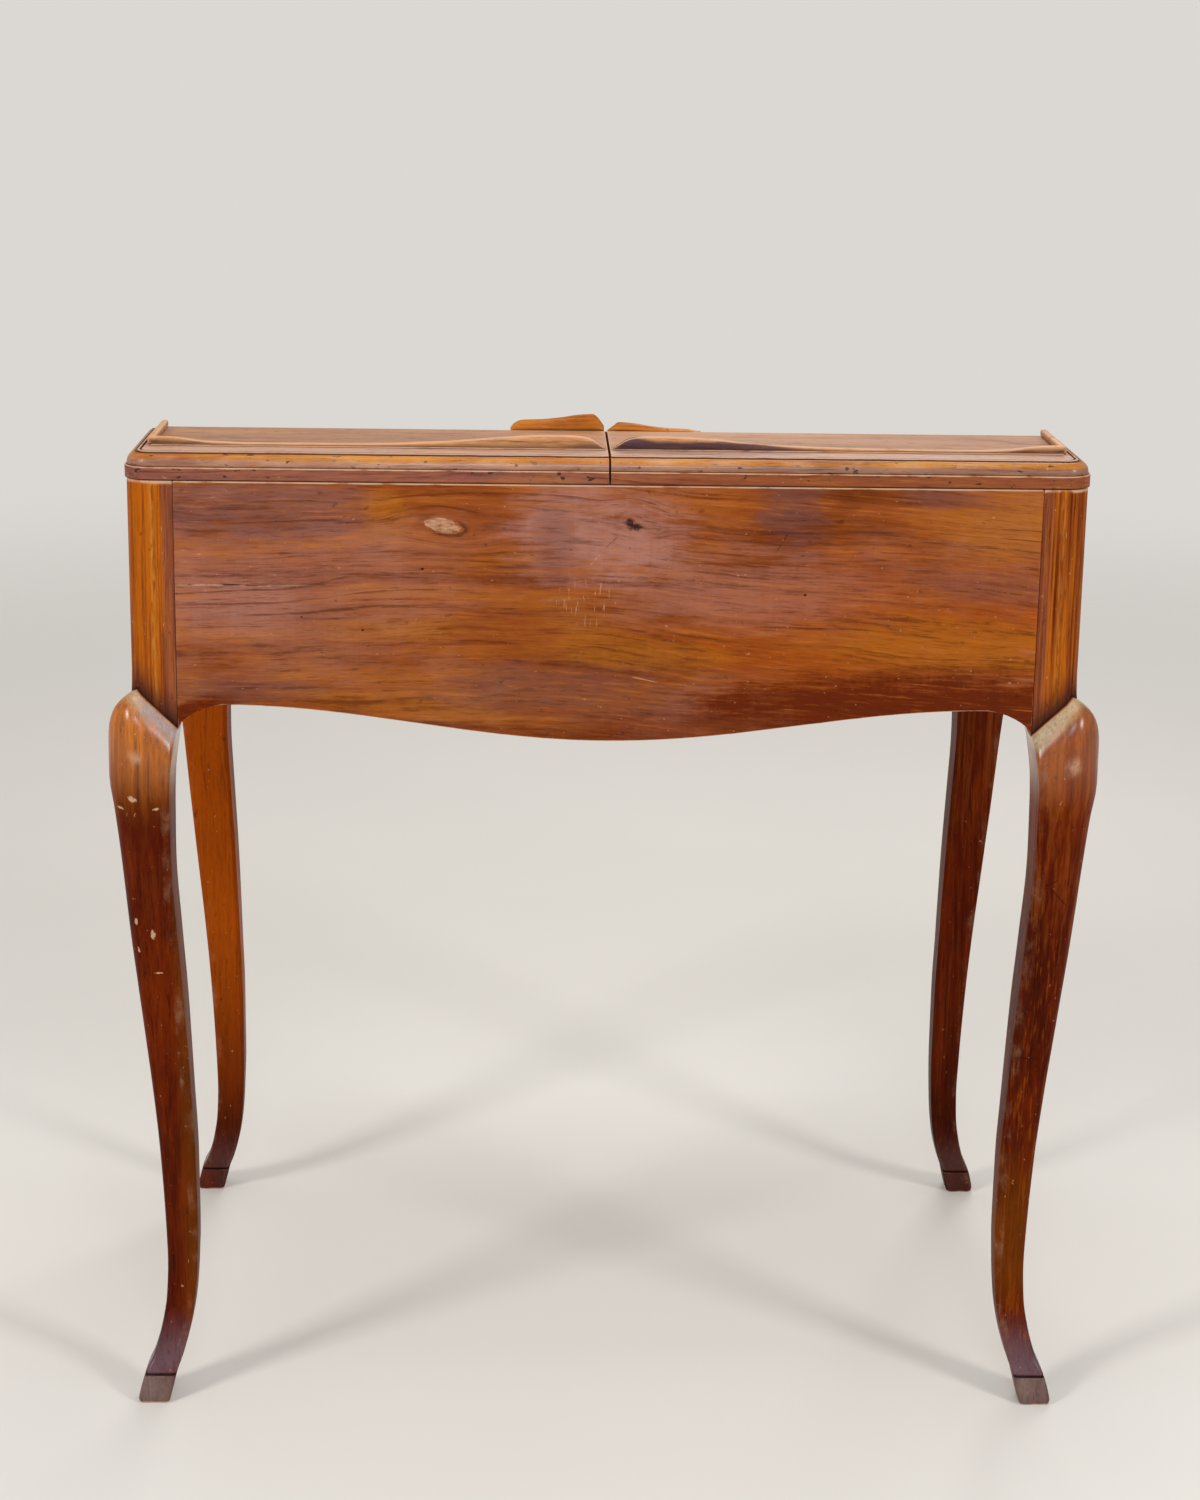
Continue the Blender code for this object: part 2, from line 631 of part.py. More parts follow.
def make_lid_hinges(root, carriers):
    """Butt hinges on the ends of the case, whose pins run from back to front."""
    neck_end = -(BORE + KNUCKLE) / 2
    for side_name, side in (("left", -1), ("right", 1)):
        carrier = carriers[side_name]
        turn = Matrix(((0, 0, side, 0), (side, 0, 0, 0), (0, 1, 0, 0), (0, 0, 0, 1)))
        centre = carrier.matrix_world.translation
        case_face = HALF_WIDTH + FIT - LID_AXIS_X
        lid_face = LID_END + FIT - LID_AXIS_X
        lid_reach = BAND_HEIGHT - BAND_EASE
        make_leaf(f"lid_hinge_leaf_{side_name}", carrier, turn, LID_HINGE_LENGTH, True,
                  ((LEAF_GAP, lid_face), (lid_reach, lid_face + LEAF)),
                  ((FIT, lid_face), (LEAF_GAP + LEAF, neck_end)))
        on_case = Matrix.Translation(centre) @ turn
        make_leaf(f"case_hinge_leaf_{side_name}", root, on_case, LID_HINGE_LENGTH, False,
                  ((-LID_HINGE_REACH, case_face), (-LEAF_GAP, case_face + LEAF)),
                  ((-LEAF_GAP - LEAF, case_face), (-FIT, neck_end)))
        make_pin(f"lid_hinge_pin_{side_name}", root, on_case, LID_HINGE_LENGTH)


def make_knob(name, carrier, x, y, z, share=1.0):
    """A turned knob on a face that looks towards the sitter."""
    rings = []
    for radius, reach in KNOB_PROFILE:
        ring = arc((x, z), KNOB_RADIUS * share * radius, 0, 360 - 360 / KNOB_SIDES, KNOB_SIDES - 1)
        rings.append([(px, y + FIT + KNOB_REACH * share * reach, pz) for px, pz in ring])
    piece(name, loft(rings), "brass", carrier, smooth=TURNED)


def make_lopers():
    low, high = DRAWER_FLOOR + FIT, DRAWER_TOP
    for side_name, side in (("left", -1), ("right", 1)):
        outer = POST_IN_X - 2 * FIT
        start, end = sorted((side * outer, side * (outer - LOPER_WIDTH)))
        middle = (start + end) / 2
        face = FRONT - RUN
        carrier = body(f"loper_{side_name}_slide", (middle, face, (low + high) / 2))
        board(f"loper_{side_name}", (start, face - LOPER_LENGTH, low), (end, face, high), "walnut", carrier)
        make_knob(f"loper_knob_{side_name}", carrier, middle, face, (low + high) / 2, SMALL_KNOB_SHARE)


def make_main_drawer():
    """A shallow drawer between the runners: five boards and two knobs."""
    half = POST_IN_X - LOPER_WIDTH - PARTITION - 3 * FIT - RUN
    low, high = DRAWER_FLOOR + FIT, DRAWER_TOP
    face = FRONT - RUN
    inner = face - PANEL - FIT
    tail = face - DRAWER_LENGTH
    side_top = high - DRAWER_SIDE_DROP
    carrier = body("main_drawer_slide", (0.0, face, (low + high) / 2))
    board("drawer_front", *mirrored_box(half, (face - PANEL, face), (low, high)), "walnut", carrier)
    for side_name, side in (("left", -1), ("right", 1)):
        start, end = sorted((side * half, side * (half - DRAWER_SIDE)))
        board(f"drawer_side_{side_name}", (start, tail, low), (end, inner, side_top), "inner_wood", carrier)
    clear = half - DRAWER_SIDE - FIT
    board("drawer_back", *mirrored_box(clear, (tail, tail + DRAWER_SIDE), (low, side_top)), "inner_wood", carrier)
    board("drawer_bottom", *mirrored_box(clear, (tail + DRAWER_SIDE + FIT, inner), (low, low + DRAWER_BOTTOM)),
          "inner_wood", carrier)
    for side_name, side in (("left", -1), ("right", 1)):
        make_knob(f"drawer_knob_{side_name}", carrier, side * MAIN_KNOB_PLACE, face, (low + high) / 2)


def make_trays():
    """Three small open drawers on the deck, under the pen wells."""
    wide = HALF_WIDTH - PANEL - FIT
    middle = (wide + DIVIDER / 2) / 3
    bay = middle - DIVIDER / 2 - RUN
    low, high = DECK_TOP + FIT, WELL_FLOOR_TOP - WELL_FLOOR - RUN
    face = WELL_RAIL_FRONT
    spans = {
        "left": (-wide + RUN, -middle - DIVIDER / 2 - RUN),
        "middle": (-bay, bay),
        "right": (middle + DIVIDER / 2 + RUN, wide - RUN),
    }
    for place, (start, end) in spans.items():
        centre = (start + end) / 2
        carrier = body(f"small_drawer_{place}_slide", (centre, face, (low + high) / 2))
        tray = board(f"small_drawer_{place}", (start, face - TRAY_LENGTH, low), (end, face, high), "walnut", carrier)
        hollow = board("tool", (start + TRAY_WALL, face - TRAY_LENGTH + TRAY_WALL, low + TRAY_WALL),
                       (end - TRAY_WALL, face - TRAY_FRONT, high + TRAY_WALL), "inner_wood", carrier)
        joined(tray, hollow, "DIFFERENCE")
        make_knob(f"small_drawer_knob_{place}", carrier, centre, face, (low + high) / 2, SMALL_KNOB_SHARE)


def main():
    clear_scene()
    root = body("desk")
    make_case(root)
    deck = make_carcase(root)
    carriers = {name: make_lid(name, side) for name, side in (("left", -1), ("right", 1))}
    make_lid_hinges(root, carriers)
    make_fall(root, deck)
    make_lopers()
    make_main_drawer()
    make_trays()


main()
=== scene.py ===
"""Looks of a walnut lady's writing desk: carved legs, moulded shelf lids, boards, fittings and finishes.

X runs along the desk, Y from its finished back to the sitter and Z up from the floor, in metres.
"""

import json
import math
from functools import reduce
from types import SimpleNamespace

import bmesh
import bpy
from bpy.props import FloatProperty, FloatVectorProperty, PointerProperty
from mathutils import Matrix, Vector, noise


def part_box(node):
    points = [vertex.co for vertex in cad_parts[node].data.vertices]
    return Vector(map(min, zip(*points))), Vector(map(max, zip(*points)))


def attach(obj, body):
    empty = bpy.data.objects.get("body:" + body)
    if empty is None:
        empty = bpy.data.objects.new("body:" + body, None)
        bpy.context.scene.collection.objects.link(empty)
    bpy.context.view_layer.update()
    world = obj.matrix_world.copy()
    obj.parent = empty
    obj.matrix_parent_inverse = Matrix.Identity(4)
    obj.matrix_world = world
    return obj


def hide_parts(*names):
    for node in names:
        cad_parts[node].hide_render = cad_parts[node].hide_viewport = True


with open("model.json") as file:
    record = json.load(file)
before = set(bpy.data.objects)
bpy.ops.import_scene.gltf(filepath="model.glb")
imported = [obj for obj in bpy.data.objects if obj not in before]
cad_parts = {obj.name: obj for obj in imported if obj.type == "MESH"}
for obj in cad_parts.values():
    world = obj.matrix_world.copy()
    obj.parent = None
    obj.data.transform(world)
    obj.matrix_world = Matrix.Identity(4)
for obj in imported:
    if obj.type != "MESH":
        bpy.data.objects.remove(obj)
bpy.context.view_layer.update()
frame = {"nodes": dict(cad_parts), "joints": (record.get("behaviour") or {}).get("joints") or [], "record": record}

bl_info = {
    "name": "Lady's Writing Desk",
    "version": (1, 0, 0),
    "blender": (4, 5, 0),
    "location": "View3D > Sidebar > Desk",
    "description": "Dresses the frame of a walnut writing desk with carved, moulded and polished pieces",
    "category": "Object",
}

# Sizes read from the frame
FIT = 0.0003
HALF_WIDTH = -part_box("side_panel_left")[0].x
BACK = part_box("back_panel")[0].y
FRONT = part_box("front_apron")[1].y
CASE_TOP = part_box("back_panel")[1].z
POST = HALF_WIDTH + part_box("back_panel")[0].x - FIT
KNEE_BELOW_RAIL = 0.0035
KNEE_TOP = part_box("front_apron")[1].z - KNEE_BELOW_RAIL
KNEE_PROUD = -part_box("leg_back_left")[0].x - HALF_WIDTH
HINGE = next(Vector(joint["pos_m"]) for joint in frame["joints"] if joint["name"] == "fall_hinge")
SIDES = (("left", -1), ("right", 1))

# Cabriole legs: height as a share of the knee's height, then how far the leg stands out from the
# case corner, how far its inner faces lie inside that corner and how round its outer corner is.
LEG_CURVE = (
    (0.000, 0.0058, 0.0172, 0.0016),
    (0.007, 0.0071, 0.0183, 0.0016),
    (0.017, 0.0060, 0.0199, 0.0018),
    (0.042, 0.0017, 0.0236, 0.0026),
    (0.064, -0.0043, 0.0284, 0.0036),
    (0.101, -0.0105, 0.0342, 0.0044),
    (0.141, -0.0143, 0.0378, 0.0050),
    (0.193, -0.0157, 0.0400, 0.0054),
    (0.248, -0.0149, 0.0410, 0.0060),
    (0.346, -0.0122, 0.0408, 0.0070),
    (0.433, -0.0084, 0.0391, 0.0082),
    (0.577, -0.0003, 0.0358, 0.0110),
    (0.671, 0.0052, 0.0326, 0.0145),
    (0.772, 0.0106, 0.0298, 0.0200),
    (0.839, 0.0147, 0.0301, 0.0245),
    (0.884, 0.0181, 0.0310, 0.0280),
    (0.926, KNEE_PROUD, 0.0337, 0.0300),
    (0.951, KNEE_PROUD, POST, 0.0310),
)

# Knees: where they begin as a share of their height, how deep and full their shoulders are, how far
# their crest rises above the leg's corner and how steeply their ledge falls from it.
KNEE_FOOT = 0.80
KNEE_SHOULDER = 0.041
KNEE_SHOULDER_POWER = 2.8
KNEE_CREST = 0.0056
KNEE_LEDGE_SLOPE = 0.80 + KNEE_CREST / POST

# Widths of the inner edges of legs and posts, wear of those edges, and the round of the posts' outer corners
LEG_ARRIS = 0.0032
POST_ARRIS = 0.0010
ARRIS_WEAR = 0.24
POST_ROUND = 0.0205

# Points round a leg's plan, and levels up its shaft, knee and post
ROUND_STEPS = 12
FACE_STEPS = 5
ARRIS_STEPS = 4
LEVEL_STEPS = 4
KNEE_STEPS = 22
POST_STEPS = 9


class DeskShape(bpy.types.PropertyGroup):
    """Sizes of the carved and moulded work, beside those that the frame gives"""

    ease: FloatProperty(
        name="Edge ease", description="Width of the worn round on the edges of boards",
        default=0.0009, min=0.0, unit="LENGTH")
    rim: FloatProperty(
        name="Rim ease", description="Width of the worn round on the upper rim of the case",
        default=0.0012, min=0.0, unit="LENGTH")
    toe_height: FloatProperty(
        name="Toe height", description="Height of the groove above the toe of each foot",
        default=0.0225, min=0.0, unit="LENGTH")
    groove: FloatProperty(
        name="Toe groove", description="Depth of the groove above the toe",
        default=0.0016, min=0.0, unit="LENGTH")
    hand: FloatProperty(
        name="Hand work", description="How far a carved surface wanders from its true shape",
        default=0.00035, min=0.0, unit="LENGTH")
    band_height: FloatProperty(
        name="Band height", description="Height of the flat band at the foot of the lid moulding",
        default=0.0097, min=0.0, unit="LENGTH")
    ovolo_reach: FloatProperty(
        name="Ovolo reach", description="How far the round of the lid moulding reaches inward",
        default=0.0072, min=0.0, unit="LENGTH")


class DeskFinish(bpy.types.PropertyGroup):
    """Colours of the woods, leather and metals"""

    walnut_dark: FloatVectorProperty(
        name="Walnut, dark streaks", description="Colour of the darkest lines in the walnut",
        default=(0.130, 0.025, 0.004), size=3, min=0.0, max=1.0, subtype="COLOR")
    walnut: FloatVectorProperty(
        name="Walnut", description="Main colour of the walnut",
        default=(0.275, 0.062, 0.009), size=3, min=0.0, max=1.0, subtype="COLOR")
    walnut_amber: FloatVectorProperty(
        name="Walnut, amber", description="Colour of the lightest figure in the walnut",
        default=(0.400, 0.118, 0.018), size=3, min=0.0, max=1.0, subtype="COLOR")
    # Pale wax bloom, painted also as the polish's reflection of the light around
    haze: FloatVectorProperty(
        name="Wax haze", description="Colour of the old wax that veils the polish",
        default=(0.400, 0.180, 0.138), size=3, min=0.0, max=1.0, subtype="COLOR")
    shade: FloatVectorProperty(
        name="Purple shade", description="Colour of the darkened, purplish stains",
        default=(0.150, 0.060, 0.052), size=3, min=0.0, max=1.0, subtype="COLOR")
    gold: FloatVectorProperty(
        name="Gold", description="Colour of the golden patches under the polish",
        default=(0.430, 0.137, 0.008), size=3, min=0.0, max=1.0, subtype="COLOR")
    russet: FloatVectorProperty(
        name="Russet", description="Colour of the deep red-brown patches",
        default=(0.134, 0.0170, 0.0012), size=3, min=0.0, max=1.0, subtype="COLOR")
    ember: FloatVectorProperty(
        name="Ember", description="Colour of the clear orange-brown where no wax veils the polish",
        default=(0.330, 0.062, 0.003), size=3, min=0.0, max=1.0, subtype="COLOR")
    worn: FloatVectorProperty(
        name="Worn edge", description="Colour of the bare wood on worn edges",
        default=(0.640, 0.380, 0.230), size=3, min=0.0, max=1.0, subtype="COLOR")
    knee: FloatVectorProperty(
        name="Knees", description="Colour of the bright amber on knees and corner posts",
        default=(0.470, 0.116, 0.005), size=3, min=0.0, max=1.0, subtype="COLOR")
    # Purple along the ledges' feet: a painted reflection, taller as inky stain at the tips and on the right ledge
    ink_and_reflection: FloatVectorProperty(
        name="Ink", description="Colour of the inky stains on the ledges",
        default=(0.085, 0.045, 0.072), size=3, min=0.0, max=1.0, subtype="COLOR")
    leg_dark: FloatVectorProperty(
        name="Legs, dark wood", description="Colour of the darkest figure in the legs",
        default=(0.056, 0.0056, 0.0007), size=3, min=0.0, max=1.0, subtype="COLOR")
    leg_line: FloatVectorProperty(
        name="Legs, dark lines", description="Colour of the fine dark lines down the legs",
        default=(0.018, 0.0022, 0.0006), size=3, min=0.0, max=1.0, subtype="COLOR")
    leg: FloatVectorProperty(
        name="Legs", description="Main colour of the legs",
        default=(0.086, 0.0076, 0.0007), size=3, min=0.0, max=1.0, subtype="COLOR")
    leg_amber: FloatVectorProperty(
        name="Legs, amber", description="Colour of the lightest figure in the legs",
        default=(0.155, 0.0175, 0.0009), size=3, min=0.0, max=1.0, subtype="COLOR")
    inner_wood: FloatVectorProperty(
        name="Inner wood", description="Colour of the plain wood inside the desk",
        default=(0.430, 0.215, 0.095), size=3, min=0.0, max=1.0, subtype="COLOR")
    leather: FloatVectorProperty(
        name="Leather", description="Colour of the writing leather",
        default=(0.120, 0.030, 0.014), size=3, min=0.0, max=1.0, subtype="COLOR")
    gilt: FloatVectorProperty(
        name="Gilt", description="Colour of the tooled lines round the leather",
        default=(0.600, 0.390, 0.130), size=3, min=0.0, max=1.0, subtype="COLOR")
    brass: FloatVectorProperty(
        name="Brass", description="Colour of the old brass",
        default=(0.600, 0.400, 0.160), size=3, min=0.0, max=1.0, subtype="COLOR")
    iron: FloatVectorProperty(
        name="Iron", description="Colour of the dark iron",
        default=(0.070, 0.062, 0.056), size=3, min=0.0, max=1.0, subtype="COLOR")


class DeskStage(bpy.types.PropertyGroup):
    """Camera, light and floor"""

    eye: FloatVectorProperty(
        name="Camera", description="Place of the camera",
        default=(-0.061, -2.3595, 1.1091), size=3, unit="LENGTH")
    yaw: FloatProperty(
        name="Yaw", description="Turn of the camera to the right",
        default=math.radians(1.513), subtype="ANGLE")
    pitch: FloatProperty(
        name="Pitch", description="Tilt of the camera down",
        default=math.radians(14.737), subtype="ANGLE")
    roll: FloatProperty(
        name="Roll", description="Roll of the camera",
        default=math.radians(0.847), subtype="ANGLE")
    lens: FloatProperty(
        name="Lens", description="Focal length in millimetres on a 36 mm long side",
        default=69.46, min=1.0, subtype="DISTANCE_CAMERA")
    floor: FloatVectorProperty(
        name="Floor", description="Colour of the floor and of the light around",
        default=(0.820, 0.795, 0.755), size=3, min=0.0, max=1.0, subtype="COLOR")


class Wire:
    """An output of a shader node. Python's operators on it add Math nodes."""

    def __init__(self, graph, socket):
        self.graph = graph
        self.socket = socket

    def __add__(self, other):
        return self.graph.math("ADD", self, other)

    def __radd__(self, other):
        return self.graph.math("ADD", other, self)

    def __sub__(self, other):
        return self.graph.math("SUBTRACT", self, other)

    def __rsub__(self, other):
        return self.graph.math("SUBTRACT", other, self)

    def __mul__(self, other):
        return self.graph.math("MULTIPLY", self, other)

    def __rmul__(self, other):
        return self.graph.math("MULTIPLY", other, self)

    def __abs__(self):
        return self.graph.math("ABSOLUTE", self)

    def least(self, other):
        return self.graph.math("MINIMUM", self, other)

    def most(self, other):
        return self.graph.math("MAXIMUM", self, other)

    def step(self, low, high, start, end):
        """One value below low, another above high and a smooth passage between."""
        return self.graph.add(
            "ShaderNodeMapRange", {"interpolation_type": "SMOOTHSTEP"},
            {"Value": self, "From Min": low, "From Max": high, "To Min": start, "To Max": end})

    def rise(self, low, high):
        """0 below low, 1 above high and smooth between."""
        return self.step(low, high, 0.0, 1.0)

    def fall(self, low, high):
        """1 below low, 0 above high and smooth between."""
        return self.step(low, high, 1.0, 0.0)


class Graph:
    """The node tree of one finish."""

    def __init__(self, tree):
        self.tree = tree

    def add(self, kind, settings=None, sockets=None, output=0):
        """Add any node: its settings come first, then the values or links of its sockets."""
        node = self.tree.nodes.new(kind)
        for key, value in (settings or {}).items():
            if key == "stops":
                self.set_stops(node.color_ramp, value)
            else:
                setattr(node, key, value)
        for key, value in (sockets or {}).items():
            self.feed(node.inputs[key], value)
        return Wire(self, node.outputs[output])

    def feed(self, socket, value):
        """Link a socket to a wire, or set it to a value."""
        if isinstance(value, Wire):
            self.tree.links.new(value.socket, socket)
        elif socket.type == "RGBA":
            socket.default_value = (*tuple(value)[:3], 1.0)
        else:
            socket.default_value = value

    @staticmethod
    def set_stops(ramp, stops):
        while len(ramp.elements) < len(stops):
            ramp.elements.new(1.0)
        for element, (place, colour) in zip(ramp.elements, stops):
            element.position = place
            element.color = (*tuple(colour)[:3], 1.0)

    def math(self, operation, *values):
        return self.add("ShaderNodeMath", {"operation": operation}, dict(enumerate(values)))

    def mix(self, share, base, top):
        """Lay one colour over another by a share from 0 to 1."""
        return self.add("ShaderNodeMix", {"data_type": "RGBA", "clamp_factor": True},
                        {0: share, 6: base, 7: top}, 2)

    def lay(self, base, *coats):
        """Lay several colours over a base in turn, each given as its share and colour."""
        for share, colour in coats:
            base = self.mix(share, base, colour)
        return base

    def place(self, along, across, deep):
        return self.add("ShaderNodeCombineXYZ", None, {"X": along, "Y": across, "Z": deep})

    def spot(self):
        """The place on the piece, in the frame of the desk at rest."""
        return self.add("ShaderNodeTexCoord", None, None, "Object")

    def axes(self):
        where = self.spot()
        return [self.add("ShaderNodeSeparateXYZ", None, {"Vector": where}, axis) for axis in "XYZ"]

    def noise(self, place, stretch, detail=2.0, rough=0.5, seed=0.0):
        """Soft noise about 0.5, with so many swells to the metre along each axis."""
        where = self.add("ShaderNodeVectorMath", {"operation": "MULTIPLY_ADD"},
                         {0: place, 1: stretch, 2: (seed, seed * 1.7, seed * 2.3)})
        return self.add("ShaderNodeTexNoise", None,
                        {"Vector": where, "Scale": 1.0, "Detail": detail, "Roughness": rough})

    def ramp(self, value, stops):
        return self.add("ShaderNodeValToRGB", {"stops": stops}, {"Fac": value})

    def attribute(self, name):
        return self.add("ShaderNodeAttribute", {"attribute_name": name}, None, "Fac")

    def bump(self, height, distance, strength, normal=None):
        sockets = {"Height": height, "Distance": distance, "Strength": strength}
        if normal is not None:
            sockets["Normal"] = normal
        return self.add("ShaderNodeBump", None, sockets)


def strongest(*masks):
    """The highest of several masks at each place."""
    return reduce(Wire.most, masks)


def scaled(colour, share):
    """A colour made darker or lighter, up to full white."""
    return [min(1.0, channel * share) for channel in colour]


def new_finish(name):
    """An empty material and its graph, with the shader's inputs to be set by dress()."""
    material = bpy.data.materials.new(name)
    material.use_nodes = True
    return material, Graph(material.node_tree)


def dress(graph, **inputs):
    """Set the inputs of the finish's shader by name, with spaces written as underscores."""
    shader = graph.tree.nodes["Principled BSDF"]
    for name, value in inputs.items():
        graph.feed(shader.inputs[name.replace("_", " ")], value)


# Walnut: growth rings to the metre, and the colours of its pits and of the dirt and painted shade in its corners
RINGS_PER_METRE = 92.0
PIT = (0.012, 0.005, 0.003)
GRIME_AND_SHADE = (0.018, 0.008, 0.005)

# Two sizes of worm holes: cells to the metre, radius of the hole and shift of the cells
WORM_HOLES = ((26.0, 0.00085, 0.37), (41.0, 0.0006, 1.9))


def grain_fields(graph, axis, push=None):
    """Fields that run with the grain: broad bands, streaks, fibres, growth rings and pores."""
    x, y, z = graph.axes()
    along, across, deep = {"X": (x, z, y), "Y": (y, z, x), "Z": (z, x, y)}[axis]
    plain = graph.place(along, across, deep)
    wave = graph.noise(plain, (2.6, 7.0, 7.0), 2.0, seed=3.1) - 0.5
    ripple = graph.noise(plain, (13.0, 30.0, 30.0), 2.0, seed=7.7) - 0.5
    bent_across = across + wave * 0.034 + ripple * 0.0034
    if push is not None:
        bent_across = bent_across + push(graph, x, z)
    bent_deep = deep + wave * 0.020 + ripple * 0.0020
    bent = graph.place(along, bent_across, bent_deep)
    drift = graph.noise(plain, (2.0, 14.0, 14.0), 2.0, seed=9.2) * 4.0
    ring = graph.math("FRACT", (bent_across + bent_deep * 0.6) * RINGS_PER_METRE + drift)
    late = ring.rise(0.74, 0.95) * ring.fall(0.96, 1.0)
    shown = graph.noise(plain, (9.0, 26.0, 26.0), 3.0, 0.6, seed=33.0).rise(0.44, 0.64)
    return SimpleNamespace(
        x=x, y=y, z=z, plain=plain, late=late * shown,
        band=graph.noise(bent, (2.2, 80.0, 80.0), 3.0, 0.55, seed=1.3),
        streak=graph.noise(bent, (13.0, 330.0, 330.0), 4.0, 0.65, seed=15.3),
        fibre=graph.noise(bent, (46.0, 440.0, 440.0), 4.0, 0.70, seed=5.9),
        pore=graph.noise(bent, (70.0, 1700.0, 1700.0), 1.0, 0.5, seed=2.2).rise(0.62, 0.74))


def worm_holes(graph, plain, per_metre, radius, seed):
    """Round holes, one in every few cells."""
    shift = (seed, seed * 0.7, seed * 0.3)
    where = graph.add("ShaderNodeVectorMath", {"operation": "ADD"}, {0: plain, 1: shift})
    cell = {"Vector": where, "Scale": per_metre}
    distance = graph.add("ShaderNodeTexVoronoi", None, cell)
    chance = graph.add("ShaderNodeTexVoronoi", None, cell, "Color")
    chance = graph.add("ShaderNodeSeparateColor", None, {"Color": chance})
    reach = radius * per_metre
    return distance.fall(reach * 0.7, reach * 1.3) * chance.rise(0.62, 0.64)


def walnut_clouds(graph, field, tones):
    """Broad clouds of the wood's dark, main and amber tones, with golden and dusky patches."""
    dark, main, amber = tones
    plain = field.plain
    cloud = graph.noise(plain, (4.6, 10.5, 10.5), 5.0, 0.62, seed=12.0)
    colour = graph.ramp(cloud + (field.band - 0.5) * 0.5, ((0.28, dark), (0.49, main), (0.70, amber)))
    fray = (field.streak - 0.5) * 0.30
    glow = (graph.noise(plain, (5.5, 15.0, 15.0), 5.0, 0.64, seed=25.0) + fray).rise(0.52, 0.66)
    dusk = (graph.noise(plain, (4.5, 11.0, 11.0), 5.0, 0.62, seed=27.0) - fray).rise(0.53, 0.68)
    golden = (amber[0] * 0.96, amber[1] * 0.95, amber[2] * 0.45)
    dusky = ((dark[0] + main[0]) * 0.40, dark[1] * 1.30, dark[2] * 2.20)
    return graph.lay(colour, (glow * 0.50, golden), (dusk * 0.42, dusky))


def wax_veil_and_reflection(graph, plain):
    """Patches of old wax bloom, brushed along the grain and combed across it, painted also as the polish's pale
    reflection.
    """
    patches = graph.noise(plain, (6.5, 9.5, 9.5), 6.0, 0.66, seed=21.0).rise(0.42, 0.66)
    brushed = graph.noise(plain, (20.0, 460.0, 460.0), 3.0, 0.62, seed=23.0)
    combed = graph.noise(plain, (430.0, 17.0, 17.0), 3.0, 0.60, seed=29.0)
    return patches * (brushed * 0.9 + combed * 0.5 - 0.05)


def walnut_figure(graph, field, colour, tones, grain):
    """Draw the dark and light lines of the grain and its pores over a colour."""
    dark, _, amber = tones
    deep = scaled(dark, 0.60)
    tone = (0.50 + (field.streak - 0.5) * 0.90 + (field.fibre - 0.5) * 1.05
            + (field.band - 0.5) * 0.45 - field.late * 0.26)
    return graph.lay(
        colour,
        (tone.fall(0.16, 0.50) * (0.62 * grain), deep),
        (tone.rise(0.51, 0.86) * (0.46 * grain), scaled(amber, 1.35)),
        (field.pore * 0.45, deep))


def walnut_flaws(graph, field, marks, worm):
    """Masks of the dark blots and worm holes and of the pale flecks, with the piece's own marks."""
    plain = field.plain
    blots = graph.noise(plain, (95.0, 150.0, 150.0), 2.0, 0.5, seed=31.0).rise(0.70, 0.75)
    holes = strongest(*(worm_holes(graph, plain, *row) for row in WORM_HOLES))
    dark = (blots * 0.40).most(holes * worm)
    pale = graph.noise(plain, (210.0, 330.0, 330.0), 2.0, 0.5, seed=37.0).rise(0.71, 0.77) * 0.40
    if marks is None:
        return dark, pale
    marked, chipped = marks(graph, field)
    return dark.most(marked), pale.most(chipped)


def walnut(name, axis, finish, tones, haze_and_reflection_share=0.25, zones=None, push=None, marks=None, gloss=0.40,
           coat=0.06, specular=0.12, polish=None, grain=1.0, coat_index=1.5, coat_rough=0.13, worm=1.0):
    """Old waxed walnut with its grain along one axis.

    Tones are its dark, main and amber colours. Zones, marks and polish are functions that give one kind
    of piece its own stains, painted light and shade, flaws and shine, and push bends its grain.
    Haze_and_reflection_share is how much pale wax bloom, painted also as the polish's reflection, veils
    the polish, grain how strong the figure is and worm how dark the worm holes are.
    """
    material, graph = new_finish(name)
    field = grain_fields(graph, axis, push)
    plain = field.plain
    veil_and_reflection = wax_veil_and_reflection(graph, plain) * haze_and_reflection_share
    flaws, flecks = walnut_flaws(graph, field, marks, worm)
    edge_noise = graph.noise(plain, (45.0, 70.0, 70.0), 4.0, 0.65, seed=41.0)
    rubbed = (graph.attribute("wear") * (edge_noise * 1.9 - 0.42)).rise(0.10, 0.52)
    # Dirt and painted shade in corners, creases and recesses darken the colour and dull the polish
    dirt_and_shade = graph.attribute("grime") * (edge_noise * 0.8 + 0.5)

    # Pale wax bloom laid over the colour, a painted reflection of the polish as well
    colour = graph.mix(veil_and_reflection, walnut_clouds(graph, field, tones), finish.haze)
    if zones is not None:
        colour = zones(graph, field, colour)
    colour = walnut_figure(graph, field, colour, tones, grain)
    colour = graph.lay(colour, (flecks, finish.worn), (flaws * 0.88, PIT),
                       (rubbed * 0.85, finish.worn), (dirt_and_shade, GRIME_AND_SHADE))

    smear = graph.noise(plain, (9.0, 17.0, 17.0), 4.0, 0.6, seed=61.0)
    roughness = (gloss + (smear - 0.5) * 0.24 + veil_and_reflection * 0.20 + rubbed * 0.18 + dirt_and_shade * 0.25
                 + field.pore * 0.10 + flaws * 0.3)
    if polish is not None:
        shine = polish(field)
        roughness = roughness - shine * 0.14
        coat = (coat + shine * 0.58) * (1 - dirt_and_shade * 0.8)
    grooves = field.streak * 0.30 + field.fibre * 0.25 - field.pore * 0.30 - flaws * 1.4 + flecks * 0.3
    swells = graph.noise(plain, (11.0, 19.0, 19.0), 2.0, 0.5, seed=71.0)
    normal = graph.bump(swells, 0.0016, 0.5, graph.bump(grooves, 0.00030, 0.50))
    dress(graph, Base_Color=colour, Roughness=roughness.most(0.12).least(0.9), Normal=normal,
          Coat_Weight=coat, Coat_Roughness=coat_rough, Coat_IOR=coat_index, Specular_IOR_Level=specular)
    return material
